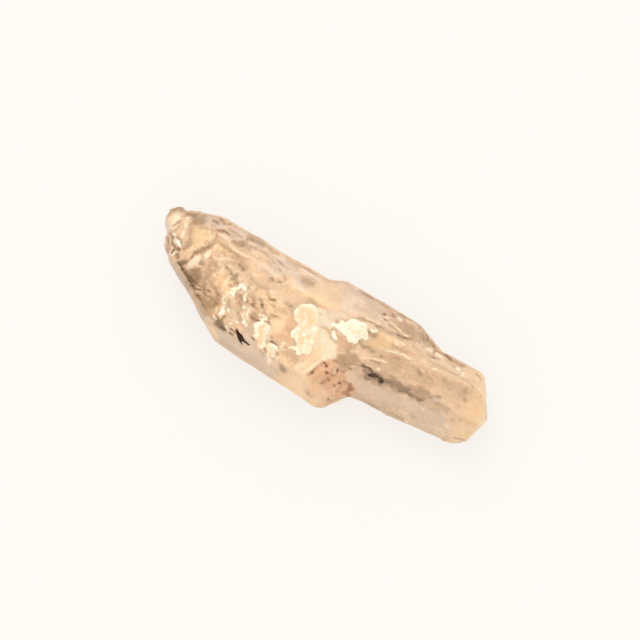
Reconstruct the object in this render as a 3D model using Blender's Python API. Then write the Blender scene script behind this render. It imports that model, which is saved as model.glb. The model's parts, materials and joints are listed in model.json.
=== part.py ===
"""Rough morganite crystal, one stone of 45 carats, lying on a flat prism face.

The stone is three crystals grown side by side along one axis and fused together: a thick
main crystal on the left, a slimmer one that runs out of it to the right, and a low ridge
along the back. Each is a block cut to shape by its own faces. The three are then joined,
and the skin is made a little uneven along the crystal axis, as etched beryl is.

Frame: +X along the crystal axis towards the slim end, +Y towards the ridge, +Z up. The origin
is on the resting face, under the centre of the stone's bounding box.
"""

import math
from typing import NamedTuple

import bmesh
import bpy
from mathutils import Matrix, Vector, noise

MM = 0.001  # metres in a millimetre; every size below is in millimetres

# Driving dimensions
STONE_LENGTH = 44.0  # tip to tip
MAIN_HEIGHT = 10.0  # top of the main crystal above the resting face
SLIM_HEIGHT = 8.65  # top of the slim crystal
RIDGE_HEIGHT = 9.8  # crest of the ridge along the back
MAIN_WAIST = 4.4  # height of the main crystal's widest section
SLIM_WAIST = 3.6
RIDGE_WAIST = 5.4
TIP_LIFT = 2.6  # how far the underside of the blunt left tip stands off the surface

# The skin
VOXEL = 0.26  # grid on which the three crystals are fused
EDGE_ROUNDING = 3  # smoothing passes, which wear the sharp edges
WEAR = 0.24  # how far each face is cut outside its place, to make up for that wear
SWELL_DEPTH, SWELL_SIZE = 0.20, 5.0  # broad waves of the faces
FURROW_DEPTH, FURROW_SIZE, FURROW_STRETCH = 0.10, 1.5, 3.5  # growth furrows, drawn out along X
TRIANGLES = 7600

BLOCK = 60.0  # side of the cube that each crystal is cut from


class Face(NamedTuple):
    """A flat face of a crystal. Seen from above, it meets height along the line from start to
    end, with the outside on the right of that way, and its normal leans this many degrees
    above the level (below, if negative)."""

    start: tuple
    end: tuple
    height: float
    lean: float


MAIN_CRYSTAL = (
    # front prism faces, above and below the waist
    Face((-9.9, -7.15), (4.4, -8.05), MAIN_WAIST, 25),
    Face((-9.9, -7.15), (4.4, -8.05), MAIN_WAIST, -24),
    # broken end that steps down to the slim crystal
    Face((3.95, -7.95), (6.25, -4.8), 3.7, 34),
    Face((3.95, -7.95), (6.25, -4.8), 3.7, -24),
    Face((4.2, -3.0), (5.6, 6.0), SLIM_HEIGHT, 52),
    Face((9.0, -5.0), (8.0, 6.0), 4.0, 20),
    # back prism faces
    Face((10.0, 5.55), (-17.0, 6.1), 5.0, 27),
    Face((10.0, 5.55), (-17.0, 6.1), 5.0, -23),
    # corner behind the blunt tip
    Face((-16.0, 6.6), (-20.4, 4.95), 5.2, 26),
    Face((-16.0, 6.6), (-20.4, 4.95), 5.2, -20),
    # long slanting cleavage at the front left
    Face((-20.7, -1.3), (-10.1, -7.55), MAIN_WAIST, 9),
    Face((-20.7, -1.3), (-10.1, -7.55), MAIN_WAIST, -33),
    Face((-22.25, 1.6), (-20.15, -1.6), 4.8, 8),
    # top, falling towards the front and towards the tip
    Face((-10.0, -5.0), (10.0, -5.0), MAIN_HEIGHT - 0.4, 86),
    Face((-12.5, 6.0), (-12.5, -6.0), MAIN_HEIGHT - 0.2, 74),
    # underside of the tip
    Face((-14.0, 6.0), (-15.0, -6.0), 0.0, -70),
)

BLUNT_TIP = (
    # front and left end
    Face((-21.3, -0.7), (-17.2, -2.8), 4.4, 8),
    Face((-21.3, -0.7), (-17.2, -2.8), 4.4, -34),
    Face((-22.35, 3.9), (-22.35, 0.9), 4.6, 14),
    Face((-22.35, 3.9), (-22.35, 0.9), 4.6, -26),
    Face((-22.75, 1.3), (-21.5, -1.0), 4.4, 9),
    # nub at the back corner
    Face((-21.2, 5.7), (-22.9, 4.5), 4.8, 18),
    Face((-17.0, 4.5), (-21.3, 4.85), 5.2, 28),
    Face((-17.0, 4.3), (-21.3, 4.65), 5.2, -26),
    # top
    Face((-19.6, -3.0), (-19.2, 5.0), 7.2, 58),
    Face((-21.0, 5.0), (-21.0, -3.0), 6.6, 62),
    # underside
    Face((-16.0, 6.0), (-18.0, -6.0), TIP_LIFT, -66),
    # where it runs into the main crystal
    Face((-13.0, -6.0), (-13.0, 6.0), 4.0, 0),
)

SLIM_CRYSTAL = (
    # front prism faces
    Face((5.0, -5.0), (20.4, -3.6), SLIM_WAIST, 43),
    Face((5.0, -5.0), (20.4, -3.6), SLIM_WAIST, -26),
    # blunt right end
    Face((19.6, -3.6), (21.15, -2.4), 3.4, 8),
    Face((21.0, -3.1), (22.0, 0.8), 3.5, 6),
    Face((21.0, -3.1), (22.0, 0.8), 3.5, -22),
    Face((22.0, 0.75), (19.7, 4.4), 3.8, 7),
    Face((22.0, 0.75), (19.7, 4.4), 3.8, -20),
    Face((20.0, 4.1), (18.8, 5.4), 4.2, 14),
    # back prism faces
    Face((19.0, 5.2), (0.0, 5.25), 4.4, 29),
    Face((19.0, 5.2), (0.0, 5.25), 4.4, -25),
    # top, falling towards the front and the right end
    Face((0.0, -1.2), (20.0, -1.2), SLIM_HEIGHT - 0.4, 82),
    Face((15.0, -5.0), (15.0, 5.0), SLIM_HEIGHT - 0.2, 79),
    # where it runs back into the main crystal
    Face((-6.0, 6.0), (-6.0, -6.0), 4.0, 0),
    # underside, rising a little towards the right end
    Face((9.0, -6.0), (9.0, 6.0), 0.0, -87),
)

RIDGE = (
    # back faces
    Face((9.6, 6.6), (-0.7, 6.8), RIDGE_WAIST, 38),
    Face((9.6, 6.6), (-0.7, 6.8), RIDGE_WAIST, -36),
    # left end, and the shoulder at the right
    Face((-0.7, 6.95), (-2.1, 5.6), RIDGE_WAIST, 20),
    Face((11.0, 5.85), (9.0, 6.5), RIDGE_WAIST, 30),
    Face((12.7, 4.55), (10.2, 6.0), RIDGE_WAIST, 26),
    # crest
    Face((-2.0, 3.5), (13.0, 3.5), RIDGE_HEIGHT, 66),
    Face((0.0, 6.0), (0.0, 3.0), RIDGE_HEIGHT - 0.1, 72),
    Face((8.5, 3.0), (8.5, 6.0), RIDGE_HEIGHT - 0.3, 76),
    Face((12.2, 3.0), (13.2, 6.0), 7.4, 40),
    # sides that lie inside the other two
    Face((14.0, 2.4), (-2.0, 2.4), 0.8, -52),
    Face((-2.0, 1.0), (13.4, 1.0), 4.0, 0),
    Face((-2.5, 6.0), (-2.5, 1.0), 4.0, 0),
    Face((14.5, 1.0), (14.5, 6.0), 4.0, 0),
)


def cut(bm, point, normal):
    """Takes away what lies outside a plane and closes the cut."""
    geometry = [*bm.verts, *bm.edges, *bm.faces]
    edge = bmesh.ops.bisect_plane(
        bm, geom=geometry, plane_co=point, plane_no=normal, clear_outer=True, dist=1e-7
    )["geom_cut"]
    rim = [e for e in edge if isinstance(e, bmesh.types.BMEdge)]
    if rim:
        bmesh.ops.contextual_create(bm, geom=rim)


def crystal_block(name, faces):
    """A cube, cut down by each face in turn and by the surface it lies on."""
    bm = bmesh.new()
    bmesh.ops.create_cube(bm, size=BLOCK * MM)
    for face in faces:
        start = Vector((*face.start, face.height)) * MM
        way = Vector(face.end) - Vector(face.start)
        level = Vector((way.y, -way.x, 0.0)).normalized()
        lean = math.radians(face.lean)
        normal = level * math.cos(lean) + Vector((0.0, 0.0, math.sin(lean)))
        cut(bm, start + normal * WEAR * MM, normal)
    cut(bm, Vector((0.0, 0.0, 0.0)), Vector((0.0, 0.0, -1.0)))
    bmesh.ops.recalc_face_normals(bm, faces=bm.faces)
    mesh = bpy.data.meshes.new(name)
    bm.to_mesh(mesh)
    bm.free()
    block = bpy.data.objects.new(name, mesh)
    bpy.context.scene.collection.objects.link(block)
    return block


def fuse(stone, others):
    """Joins the crystals in one skin and wears their edges."""
    for other in others:
        join = stone.modifiers.new("join " + other.name, "BOOLEAN")
        join.operation = "UNION"
        join.object = other
    skin = stone.modifiers.new("one skin", "REMESH")
    skin.mode = "VOXEL"
    skin.voxel_size = VOXEL * MM
    worn = stone.modifiers.new("worn edges", "SMOOTH")
    worn.iterations = EDGE_ROUNDING


def evaluated_copy(stone):
    """The stone's mesh with its modifiers carried out."""
    graph = bpy.context.evaluated_depsgraph_get()
    graph.update()
    return bpy.data.meshes.new_from_object(stone.evaluated_get(graph))


def roughen(mesh):
    """Moves the skin in and out: broad swells, and furrows drawn out along the crystal axis."""
    along_axis = Matrix.Diagonal((1 / FURROW_STRETCH, 1.0, 1.0))
    moved = []
    for vertex in mesh.vertices:
        place = vertex.co / MM
        swell = noise.noise(place / SWELL_SIZE) * SWELL_DEPTH
        furrow = noise.fractal(along_axis @ place / FURROW_SIZE, 0.8, 2.1, 3) * FURROW_DEPTH
        moved.append(vertex.co + vertex.normal * (swell + furrow) * MM)
    for vertex, place in zip(mesh.vertices, moved, strict=True):
        vertex.co = place


def thin_out(stone):
    """Leaves flat stretches with few triangles and keeps them where the skin turns."""
    count = sum(len(p.vertices) - 2 for p in stone.data.polygons)
    fewer = stone.modifiers.new("fewer triangles", "DECIMATE")
    fewer.ratio = TRIANGLES / count
    stone.data = evaluated_copy(stone)
    stone.modifiers.clear()


def rest_on_face(mesh):
    """Cuts the resting face flat, brings the stone to its length, and sets the origin under
    the centre of its box."""
    bm = bmesh.new()
    bm.from_mesh(mesh)
    cut(bm, Vector((0.0, 0.0, (SWELL_DEPTH + FURROW_DEPTH) * MM)), Vector((0.0, 0.0, -1.0)))
    bmesh.ops.triangulate(bm, faces=[f for f in bm.faces if len(f.verts) > 3])
    low = Vector([min(v.co[k] for v in bm.verts) for k in range(3)])
    high = Vector([max(v.co[k] for v in bm.verts) for k in range(3)])
    base = Vector(((low.x + high.x) / 2, (low.y + high.y) / 2, low.z))
    stretch = STONE_LENGTH * MM / (high.x - low.x)
    for vertex in bm.verts:
        vertex.co = (vertex.co - base) * stretch
    bm.to_mesh(mesh)
    bm.free()


def crystal_material():
    """Pale peach beryl, satin where it is etched."""
    material = bpy.data.materials.new("morganite")
    material.use_nodes = True
    shader = material.node_tree.nodes["Principled BSDF"]
    shader.inputs["Base Color"].default_value = (0.78, 0.55, 0.36, 1.0)
    shader.inputs["Roughness"].default_value = 0.35
    shader.inputs["Metallic"].default_value = 0.0
    shader.inputs["IOR"].default_value = 1.58
    return material


def main():
    for old in list(bpy.data.objects):
        bpy.data.objects.remove(old)
    stone = crystal_block("crystal", MAIN_CRYSTAL)
    others = [
        crystal_block("blunt_tip_block", BLUNT_TIP),
        crystal_block("slim_crystal_block", SLIM_CRYSTAL),
        crystal_block("ridge_block", RIDGE),
    ]
    fuse(stone, others)
    stone.data = evaluated_copy(stone)
    stone.modifiers.clear()
    for block in others:
        bpy.data.objects.remove(block)
    roughen(stone.data)
    thin_out(stone)
    rest_on_face(stone.data)
    stone.data.materials.clear()
    stone.data.materials.append(crystal_material())


main()
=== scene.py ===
"""The looks of a rough morganite crystal: its furrowed and crumbled skin, the cream crusts on it,
the dark inclusions and healed fractures in it, and the stage it is seen on.

Places are in millimetres in the crystal's own frame: X runs along the crystal axis from the
blunt tip to the slim end, Y towards the ridge along the back, and Z up from the resting face.
"""

import json
import math
import random
from typing import NamedTuple

import bmesh
import bpy
import numpy as np
from bpy.props import FloatProperty, FloatVectorProperty, IntProperty, PointerProperty
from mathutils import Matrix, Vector, bvhtree, noise

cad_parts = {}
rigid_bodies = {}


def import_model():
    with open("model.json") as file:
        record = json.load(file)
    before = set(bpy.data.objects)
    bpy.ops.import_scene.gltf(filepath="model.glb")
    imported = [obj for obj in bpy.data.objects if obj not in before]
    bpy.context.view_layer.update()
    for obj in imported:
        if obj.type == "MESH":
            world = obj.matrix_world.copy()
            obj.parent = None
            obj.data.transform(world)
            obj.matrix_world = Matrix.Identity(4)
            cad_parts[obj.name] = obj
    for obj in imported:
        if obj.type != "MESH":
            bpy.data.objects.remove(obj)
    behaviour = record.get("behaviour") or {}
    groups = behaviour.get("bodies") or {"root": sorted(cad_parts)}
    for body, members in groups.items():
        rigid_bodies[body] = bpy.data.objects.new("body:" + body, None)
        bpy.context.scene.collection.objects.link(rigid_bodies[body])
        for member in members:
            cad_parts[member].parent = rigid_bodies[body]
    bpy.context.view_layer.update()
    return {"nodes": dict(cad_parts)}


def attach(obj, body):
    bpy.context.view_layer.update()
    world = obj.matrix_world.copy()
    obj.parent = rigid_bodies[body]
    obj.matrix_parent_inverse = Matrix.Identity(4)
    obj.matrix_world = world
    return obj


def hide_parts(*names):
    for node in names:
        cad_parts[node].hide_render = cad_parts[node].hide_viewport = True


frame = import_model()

bl_info = {
    "name": "Rough Morganite Crystal",
    "version": (1, 0, 0),
    "blender": (4, 5, 0),
    "location": "3D View > Sidebar > Morganite",
    "description": "Builds the skin, crusts, inclusions and stage of a rough morganite crystal",
    "category": "Add Mesh",
}

MM = 0.001
BODY = "root"
NODE = "crystal"
# the marks below are drawn a little larger than the stone, and to one side
DRAWN_SCALE = 1.021
DRAWN_SHIFT = np.array((-0.06, -0.09))
# the seed of all that is random
SEED = 7
# a height above the whole stone, in millimetres
ABOVE = 50.0
# how fast the octaves of the noise get weaker, and how much finer each is than the last
NOISE_FALL = 0.9
NOISE_STEP = 2.1
# how strongly a mark has to show for its film to reach there, how much room is left round the
# marks, in millimetres, and how thick the film is
FILM_EDGE = 0.3
FILM_MARGIN = 0.2
FILM_THICKNESS = 0.15 * MM
# the lumps inside a crust's outlines: their spacing and sizes as shares of its lump size, their
# scatter as a share of the spacing, and in millimetres how far inside the rim they begin and how
# far they may reach over it
LUMP_SPACING = 0.75
LUMP_SIZES = (0.7, 1.3)
LUMP_SCATTER = 0.4
LUMP_DEPTH = 0.08
LUMP_OVERHANG = 0.15
# the lumps along its rims: their step and their radii, in millimetres
RIM_STEP = 0.17
RIM_RADII = (0.1, 0.24)
# the lumps along its runs: their step, scatter and largest radius in millimetres, and their sizes
# as shares of that radius
RUN_STEP = 0.12
RUN_SCATTER = 0.09
RUN_RADIUS = 0.26
RUN_SIZES = (0.35, 1.0)
# the widths of the lumps as shares of their lengths, and how much deeper they lie where a crust
# sinks into the skin, as a share of their radius
LUMP_WIDTHS = (0.8, 1.1)
SUNK_DEEPER = 0.15
# the stage, in metres: the floor, the soft light, and where the camera and the light point
FLOOR_SIZE = 4.0
KEY_PLACE = (-0.22, 0.28, 0.36)
KEY_SIZE = 0.25
LOOKED_AT = Vector((-0.44, 1.78, 0.0)) * MM


# ---------------------------------------------------------------- marks on the skin


class Stroke(NamedTuple):
    """A streak along a path in plan: its strength, its width and how far its edge fades."""

    strength: float
    width: float
    fade: float
    path: tuple


class Patch(NamedTuple):
    """An area in plan inside its corners: its strength and how far its edge fades."""

    strength: float
    fade: float
    corners: tuple


def strokes(strength, width, fade, *paths):
    """Strokes of one kind along several paths."""
    return [Stroke(strength, width, fade, path) for path in paths]


# clear peach places that glow
WARM = (
    Patch(1.0, 0.3, ((-18.7, 3.8), (-16.3, 3.8), (-16.7, 2.7), (-17.3, 1.6), (-17.6, 0.8), (-18.1, 0.6),
        (-17.8, 2.0))),
    Patch(0.7, 0.4, ((-15.5, 3.4), (-12.4, 3.6), (-11.4, 3.1), (-13.2, 2.7), (-15.3, 2.8))),
    Patch(1.0, 0.5, ((-13.3, 0.6), (-11.8, 0.7), (-11.2, -0.4), (-12.0, -1.3), (-13.3, -1.1))),
    Patch(0.8, 0.6, ((-9.6, 1.3), (-5.0, 1.4), (-4.0, 0.2), (-3.9, -1.7), (-5.0, -1.9), (-6.2, 0.2),
        (-9.0, 0.4))),
    Patch(0.7, 1.4, ((18.0, 5.9), (19.4, 3.8), (19.2, 0.6), (19.8, -1.2), (19.0, -3.0), (21.4, -2.4),
        (22.6, 1.4), (20.4, 5.4))),
    Patch(0.8, 0.6, ((6.0, 4.4), (8.2, 4.4), (8.0, 2.3), (6.1, 2.3))),
    Patch(0.8, 0.8, ((-1.6, -5.7), (1.2, -5.0), (3.6, -5.1), (5.2, -5.6), (5.0, -7.2), (3.4, -8.2),
        (-2.0, -7.8))),
    Patch(0.9, 0.5, ((0.3, -0.9), (1.2, -1.1), (1.5, -3.0), (1.0, -4.4), (0.5, -3.0))),
    Patch(0.3, 1.2, ((-4.6, 5.8), (-1.4, 6.2), (0.2, 5.6), (0.0, 3.4), (-2.6, 3.2), (-5.4, 2.4))),
    Stroke(1.0, 1.2, 0.8, ((19.0, 6.0), (20.4, 4.4), (22.4, 1.4), (21.6, -1.6), (20.0, -3.2))),
    Stroke(1.0, 0.9, 0.5, ((-22.0, 3.8), (-21.8, 3.0), (-21.4, 2.3), (-21.0, 1.7))),
)
# flawed tan places, and painted shade under the ledge by the tip, along the rim of the tip's nub and over
# the lower flank near the tip
TAN = (
    Patch(1.0, 0.4, ((-19.7, 4.9), (-18.4, 5.6), (-17.9, 5.1), (-17.7, 4.4), (-18.4, 4.0), (-19.2, 4.0))),
    # painted shade: the brown shadow under the ledge near the tip
    Patch(1.0, 0.2, ((-15.9, 4.0), (-15.4, 3.7), (-15.5, 2.7), (-16.0, 2.2), (-16.1, 1.7), (-16.8, 1.1),
        (-17.2, 1.3), (-16.8, 2.2), (-16.2, 2.8))),
    Patch(1.0, 0.25, ((-14.1, 4.35), (-13.9, 4.7), (-13.3, 5.05), (-12.5, 4.95), (-12.3, 4.5),
        (-13.0, 4.2))),
    Patch(1.0, 0.2, ((-16.4, 4.85), (-15.9, 5.15), (-15.3, 5.3), (-14.6, 5.15), (-15.2, 4.95), (-15.7, 4.7),
        (-16.2, 4.55))),
    Patch(1.0, 0.2, ((-17.35, 5.5), (-17.1, 5.7), (-16.6, 5.75), (-16.25, 5.6), (-16.5, 5.4),
        (-17.1, 5.35))),
    Patch(0.8, 0.5, ((-4.9, 5.1), (-4.2, 5.5), (-3.0, 5.3), (-3.2, 4.6), (-3.8, 4.3), (-4.7, 4.5))),
    Patch(0.3, 0.9, ((-4.1, 1.4), (-3.1, 0.9), (-2.5, 0.1), (-2.8, -0.8), (-2.5, -1.5), (-1.7, -1.8),
        (-1.4, -2.5), (-2.5, -2.7), (-3.9, -2.5), (-4.0, -0.6))),
    # painted shade: the lower flank near the tip is darker as it faces away from the light
    Patch(1.0, 0.8, ((-16.0, -2.4), (-13.0, -2.0), (-11.9, -1.8), (-11.7, -3.0), (-11.4, -4.3),
        (-12.6, -5.0), (-14.2, -3.9))),
    Patch(0.7, 0.5, ((-12.4, 2.9), (-11.0, 3.0), (-10.8, 2.2), (-12.0, 2.0))),
    Patch(0.7, 0.4, ((-15.0, 1.8), (-13.9, 1.6), (-13.7, 0.4), (-14.4, -0.8), (-15.0, -0.2), (-15.2, 0.8))),
    Patch(0.4, 1.0, ((5.6, 0.4), (8.4, 2.4), (12.0, 2.8), (16.0, 3.8), (19.0, 3.4), (18.8, 0.8),
        (15.0, 1.3), (9.0, 0.3))),
    Patch(0.8, 0.5, ((3.2, -0.9), (4.0, -0.1), (5.6, 0.2), (6.4, -0.2), (5.2, -0.9), (5.0, -2.0),
        (3.6, -1.8))),
    Patch(0.45, 0.4, ((2.2, 1.4), (3.0, 1.5), (3.6, 1.2), (4.6, 1.3), (4.9, 0.7), (3.6, -0.4), (2.7, 0.0),
        (2.3, 0.6))),
    Patch(0.7, 0.3, ((4.9, 3.5), (5.5, 3.4), (6.2, 3.6), (6.1, 3.1), (5.2, 3.0))),
    Patch(0.25, 0.4, ((-2.9, -3.0), (-0.6, -3.1), (0.0, -3.5), (-0.7, -4.5), (-2.0, -4.2), (-2.8, -3.6))),
    Patch(0.8, 0.9, ((9.6, 7.0), (11.4, 6.5), (11.6, 5.2), (9.4, 5.0), (7.0, 4.9), (6.4, 5.6), (8.0, 6.9))),
    Patch(0.35, 0.9, ((2.6, 6.9), (7.0, 7.2), (7.4, 5.4), (5.2, 5.0), (3.4, 5.4))),
    Patch(0.35, 0.6, ((3.2, 5.8), (4.4, 5.9), (5.4, 5.4), (5.0, 4.9), (3.6, 5.0))),
    Patch(0.5, 0.5, ((2.3, -2.4), (2.9, -2.2), (3.1, -3.4), (2.4, -4.4), (1.8, -4.2), (2.0, -3.2))),
    Patch(0.6, 0.5, ((6.0, -2.9), (6.8, -3.1), (6.9, -4.0), (6.2, -4.6), (5.8, -4.2), (6.2, -3.6))),
    # the first path: painted shade along the rim of the tip's nub
    *strokes(0.9, 0.7, 0.5, ((-21.9, 3.6), (-21.6, 4.6), (-20.8, 5.0), (-20.0, 4.8)),
        ((-11.3, 1.2), (-10.6, 0.9))),
    Stroke(0.6, 0.3, 0.3, ((-20.25, 3.4), (-20.35, 2.6))),
    Stroke(0.25, 0.5, 0.4, ((-22.0, 3.6), (-21.75, 2.9), (-21.4, 2.2))),
    *strokes(0.5, 0.8, 0.6, ((-18.9, 4.2), (-18.6, 3.0), (-18.0, 2.0)), ((-2.5, 3.0), (-1.3, 3.0))),
    *strokes(0.7, 0.6, 0.4, ((-19.1, 4.0), (-18.6, 2.8), (-18.1, 2.0), (-18.4, 1.0)),
        ((-18.3, 4.3), (-17.3, 4.3))),
    Stroke(0.7, 0.4, 0.3, ((-17.4, 4.3), (-16.4, 4.5), (-15.8, 4.2))),
    *strokes(0.8, 0.35, 0.3, ((-15.4, 3.6), (-13.8, 3.6), (-12.2, 3.3), (-11.4, 2.9)),
        ((-13.0, 5.1), (-11.4, 5.2), (-9.4, 5.3))),
    Stroke(1.0, 0.3, 0.2, ((-16.5, 6.1), (-15.7, 5.9), (-15.2, 6.1))),
    Stroke(0.8, 0.25, 0.2, ((-15.0, 5.6), (-14.2, 5.6), (-13.2, 5.5))),
    Stroke(0.7, 0.5, 0.4, ((-12.0, 6.2), (-10.4, 6.1), (-8.8, 5.9))),
    Stroke(0.6, 0.25, 0.2, ((-7.6, 6.1), (-6.2, 5.9), (-5.4, 6.1), (-3.6, 6.1))),
    Stroke(0.9, 0.7, 0.4, ((-11.9, 1.0), (-11.3, 0.7), (-10.8, 0.8))),
    *strokes(0.6, 0.5, 0.4, ((-9.8, 1.9), (-8.6, 1.6), (-7.4, 1.8)), ((8.1, 3.8), (8.4, 3.4), (10.0, 3.4))),
    Stroke(0.8, 0.5, 0.4, ((12.3, 2.3), (13.1, 2.0))),
    Stroke(0.7, 0.35, 0.3, ((8.6, 2.3), (9.8, 2.4))),
    Stroke(0.8, 0.3, 0.3, ((12.4, 4.6), (13.9, 4.75))),
    Stroke(0.9, 0.35, 0.3, ((12.2, 5.7), (14.0, 5.5), (15.2, 5.4), (16.8, 5.45))),
    Stroke(0.9, 0.4, 0.3, ((4.7, 1.8), (5.4, 1.6), (6.0, 1.9))),
    Stroke(0.6, 0.4, 0.4, ((2.2, -6.2), (3.2, -6.5))),
    Stroke(0.5, 0.5, 0.4, ((9.4, 4.5), (11.4, 4.4), (13.6, 3.9), (16.6, 4.2))),
    Stroke(0.5, 0.4, 0.4, ((2.0, 7.0), (5.4, 6.9), (8.8, 7.0))),
    Stroke(0.8, 0.3, 0.25, ((3.4, 4.2), (4.4, 4.4), (6.0, 4.6))),
    Stroke(0.95, 0.7, 0.4, ((-12.4, 5.9), (-11.4, 5.95), (-10.6, 5.9))),
    *strokes(0.7, 0.8, 0.6, ((-12.9, 3.9), (-11.6, 3.6)), ((-3.2, -1.1), (-2.2, -1.3))),
    Stroke(0.5, 0.6, 0.5, ((-11.2, 4.5), (-10.2, 4.4))),
    Stroke(0.8, 0.8, 0.6, ((-12.6, -1.2), (-12.0, -1.5), (-11.8, -2.0))),
    Stroke(0.35, 0.8, 0.6, ((-7.4, -3.0), (-6.8, -3.3))),
    *strokes(0.45, 0.6, 0.5, ((-7.2, 5.8), (-5.8, 5.8)), ((-12.2, -0.9), (-11.4, -1.2))),
    Stroke(0.5, 0.6, 0.4, ((-16.8, 4.9), (-16.0, 4.7))),
    *strokes(0.45, 0.8, 0.6, ((-13.0, 2.6), (-12.2, 2.5)), ((-10.0, -1.2), (-9.4, -1.6))),
    Stroke(0.45, 0.9, 0.8, ((14.8, -0.5), (16.6, -0.3))),
    Stroke(0.4, 0.8, 0.6, ((6.0, -1.1), (6.8, -1.3))),
    Stroke(0.5, 0.9, 0.7, ((-4.6, -2.9), (-3.4, -3.1))),
    Stroke(0.45, 0.7, 0.6, ((15.0, 5.1), (16.2, 4.9))),
    Stroke(0.35, 0.7, 0.5, ((2.4, 5.2), (3.4, 5.1))),
)
# smooth grey-beige prism faces; on the lower faces partly painted shade, as they slope away from the light
GREY = (
    Patch(1.0, 0.5, ((-10.5, -5.15), (-9.2, -5.0), (-4.4, -5.05), (-3.0, -5.7), (-1.8, -5.9), (-2.0, -7.2),
        (-9.9, -6.8))),
    Patch(1.0, 0.4, ((-7.6, -2.9), (-6.6, -2.9), (-6.2, -3.9), (-5.0, -4.4), (-5.2, -5.1), (-7.2, -4.9),
        (-7.9, -4.0))),
    Patch(1.0, 0.4, ((-10.6, -2.0), (-9.2, -2.1), (-8.9, -2.8), (-9.6, -3.1), (-10.4, -2.7))),
    Patch(0.8, 0.4, ((-7.9, -2.0), (-7.0, -2.1), (-6.8, -2.8), (-7.6, -2.9))),
    Patch(0.95, 0.7, ((6.6, -1.6), (8.0, -1.5), (10.5, -1.1), (13.5, -1.0), (15.0, -0.5), (18.4, -0.9),
        (19.4, -2.2), (19.8, -3.6), (7.0, -4.6), (7.1, -3.2))),
    Patch(0.6, 0.4, ((5.6, -1.8), (6.9, -1.5), (7.1, -3.2), (6.3, -2.8), (5.4, -2.5))),
    Patch(1.0, 0.3, ((-18.3, -1.0), (-17.0, -1.5), (-15.6, -2.7), (-14.4, -3.6), (-14.6, -4.2),
        (-19.2, -1.7))),
    Patch(1.0, 0.8, ((3.6, 7.2), (5.6, 7.3), (6.6, 6.4), (6.4, 5.2), (4.6, 4.9), (3.2, 5.4))),
    Patch(0.8, 1.0, ((6.2, 7.4), (9.4, 7.4), (11.4, 6.8), (11.6, 5.6), (9.8, 5.1), (7.0, 5.4), (5.6, 6.4))),
    Patch(0.6, 0.5, ((-15.0, 2.7), (-13.2, 2.3), (-12.7, 1.9), (-14.2, 1.7), (-15.1, 1.9))),
    Patch(0.8, 0.5, ((-18.2, 5.6), (-14.0, 6.2), (-12.4, 5.7), (-14.4, 4.4), (-15.8, 4.3), (-17.8, 4.6))),
    Stroke(0.7, 0.6, 0.5, ((12.0, 0.5), (11.0, 0.2), (9.4, 0.4), (8.0, 0.2))),
    Stroke(0.8, 0.7, 0.6, ((15.4, 0.4), (17.6, 0.1))),
    Stroke(0.6, 0.8, 0.6, ((-8.0, 4.6), (-9.0, 5.4), (-7.0, 5.6))),
)
# etched lilac glaze
LILAC = (
    Patch(0.45, 0.2, ((-18.1, 5.5), (-17.6, 5.8), (-17.0, 5.95), (-16.4, 5.85), (-15.9, 5.6), (-15.4, 5.6),
        (-14.4, 6.0), (-14.0, 5.7), (-15.0, 5.45), (-15.6, 5.3), (-16.3, 5.0), (-17.0, 4.8), (-17.8, 4.7))),
    Patch(0.6, 0.2, ((-15.8, 4.35), (-15.4, 4.65), (-14.8, 4.85), (-14.1, 4.9), (-13.5, 5.4), (-12.4, 5.6),
        (-12.4, 5.4), (-13.4, 5.05), (-14.1, 4.6), (-14.6, 4.3), (-15.2, 4.35))),
    Patch(0.75, 0.6, ((-9.0, 5.9), (-6.3, 5.6), (-6.6, 4.6), (-7.4, 3.3), (-9.4, 3.2), (-10.0, 2.9),
        (-9.8, 3.6), (-8.4, 4.2))),
    Patch(0.6, 0.4, ((-5.6, 6.0), (-2.6, 6.0), (-2.8, 5.4), (-5.4, 5.5))),
    Patch(1.0, 0.6, ((-2.3, 2.8), (-0.6, 3.0), (0.6, 3.5), (1.4, 3.9), (2.1, 4.0), (1.6, 3.0), (1.5, 2.2),
        (0.8, 1.5), (-0.3, 1.6), (-1.5, 2.0))),
    Patch(0.75, 0.6, ((-1.2, 6.8), (1.4, 7.3), (4.8, 7.2), (5.2, 6.0), (3.2, 5.6), (2.9, 4.4), (1.4, 3.9),
        (0.6, 4.4), (0.5, 6.0), (-0.6, 6.3))),
    Patch(0.35, 0.5, ((4.4, 7.2), (7.2, 7.0), (8.0, 5.6), (7.4, 4.8), (5.8, 4.9), (4.2, 4.6), (3.0, 5.0),
        (4.4, 5.8))),
    Patch(0.4, 0.5, ((7.4, 6.8), (10.8, 6.6), (11.4, 6.0), (10.4, 5.4), (8.2, 5.5), (7.2, 6.1))),
    Stroke(0.9, 0.2, 0.2, ((-17.75, 4.6), (-16.6, 4.85), (-16.2, 5.2), (-15.4, 5.55), (-14.2, 5.75),
        (-13.2, 5.7))),
    Stroke(0.8, 0.25, 0.2, ((-12.6, 5.45), (-11.0, 5.65), (-9.6, 5.75))),
    Stroke(0.6, 0.5, 0.3, ((-15.2, 6.0), (-13.0, 6.0), (-10.6, 5.8))),
    Stroke(0.75, 0.65, 0.3, ((-6.4, 4.9), (-5.4, 4.95), (-4.9, 4.2), (-3.5, 3.9))),
    Stroke(0.8, 0.35, 0.3, ((9.0, 6.7), (10.0, 6.5), (11.0, 6.4))),
    Stroke(0.6, 0.5, 0.5, ((15.4, 0.7), (16.2, 0.5))),
    Stroke(0.9, 0.55, 0.4, ((8.4, 6.7), (10.0, 6.7))),
    Stroke(0.7, 0.6, 0.5, ((3.8, 6.6), (5.6, 6.6))),
    Stroke(0.4, 0.8, 0.6, ((6.6, 5.5), (7.8, 5.5))),
)
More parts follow.
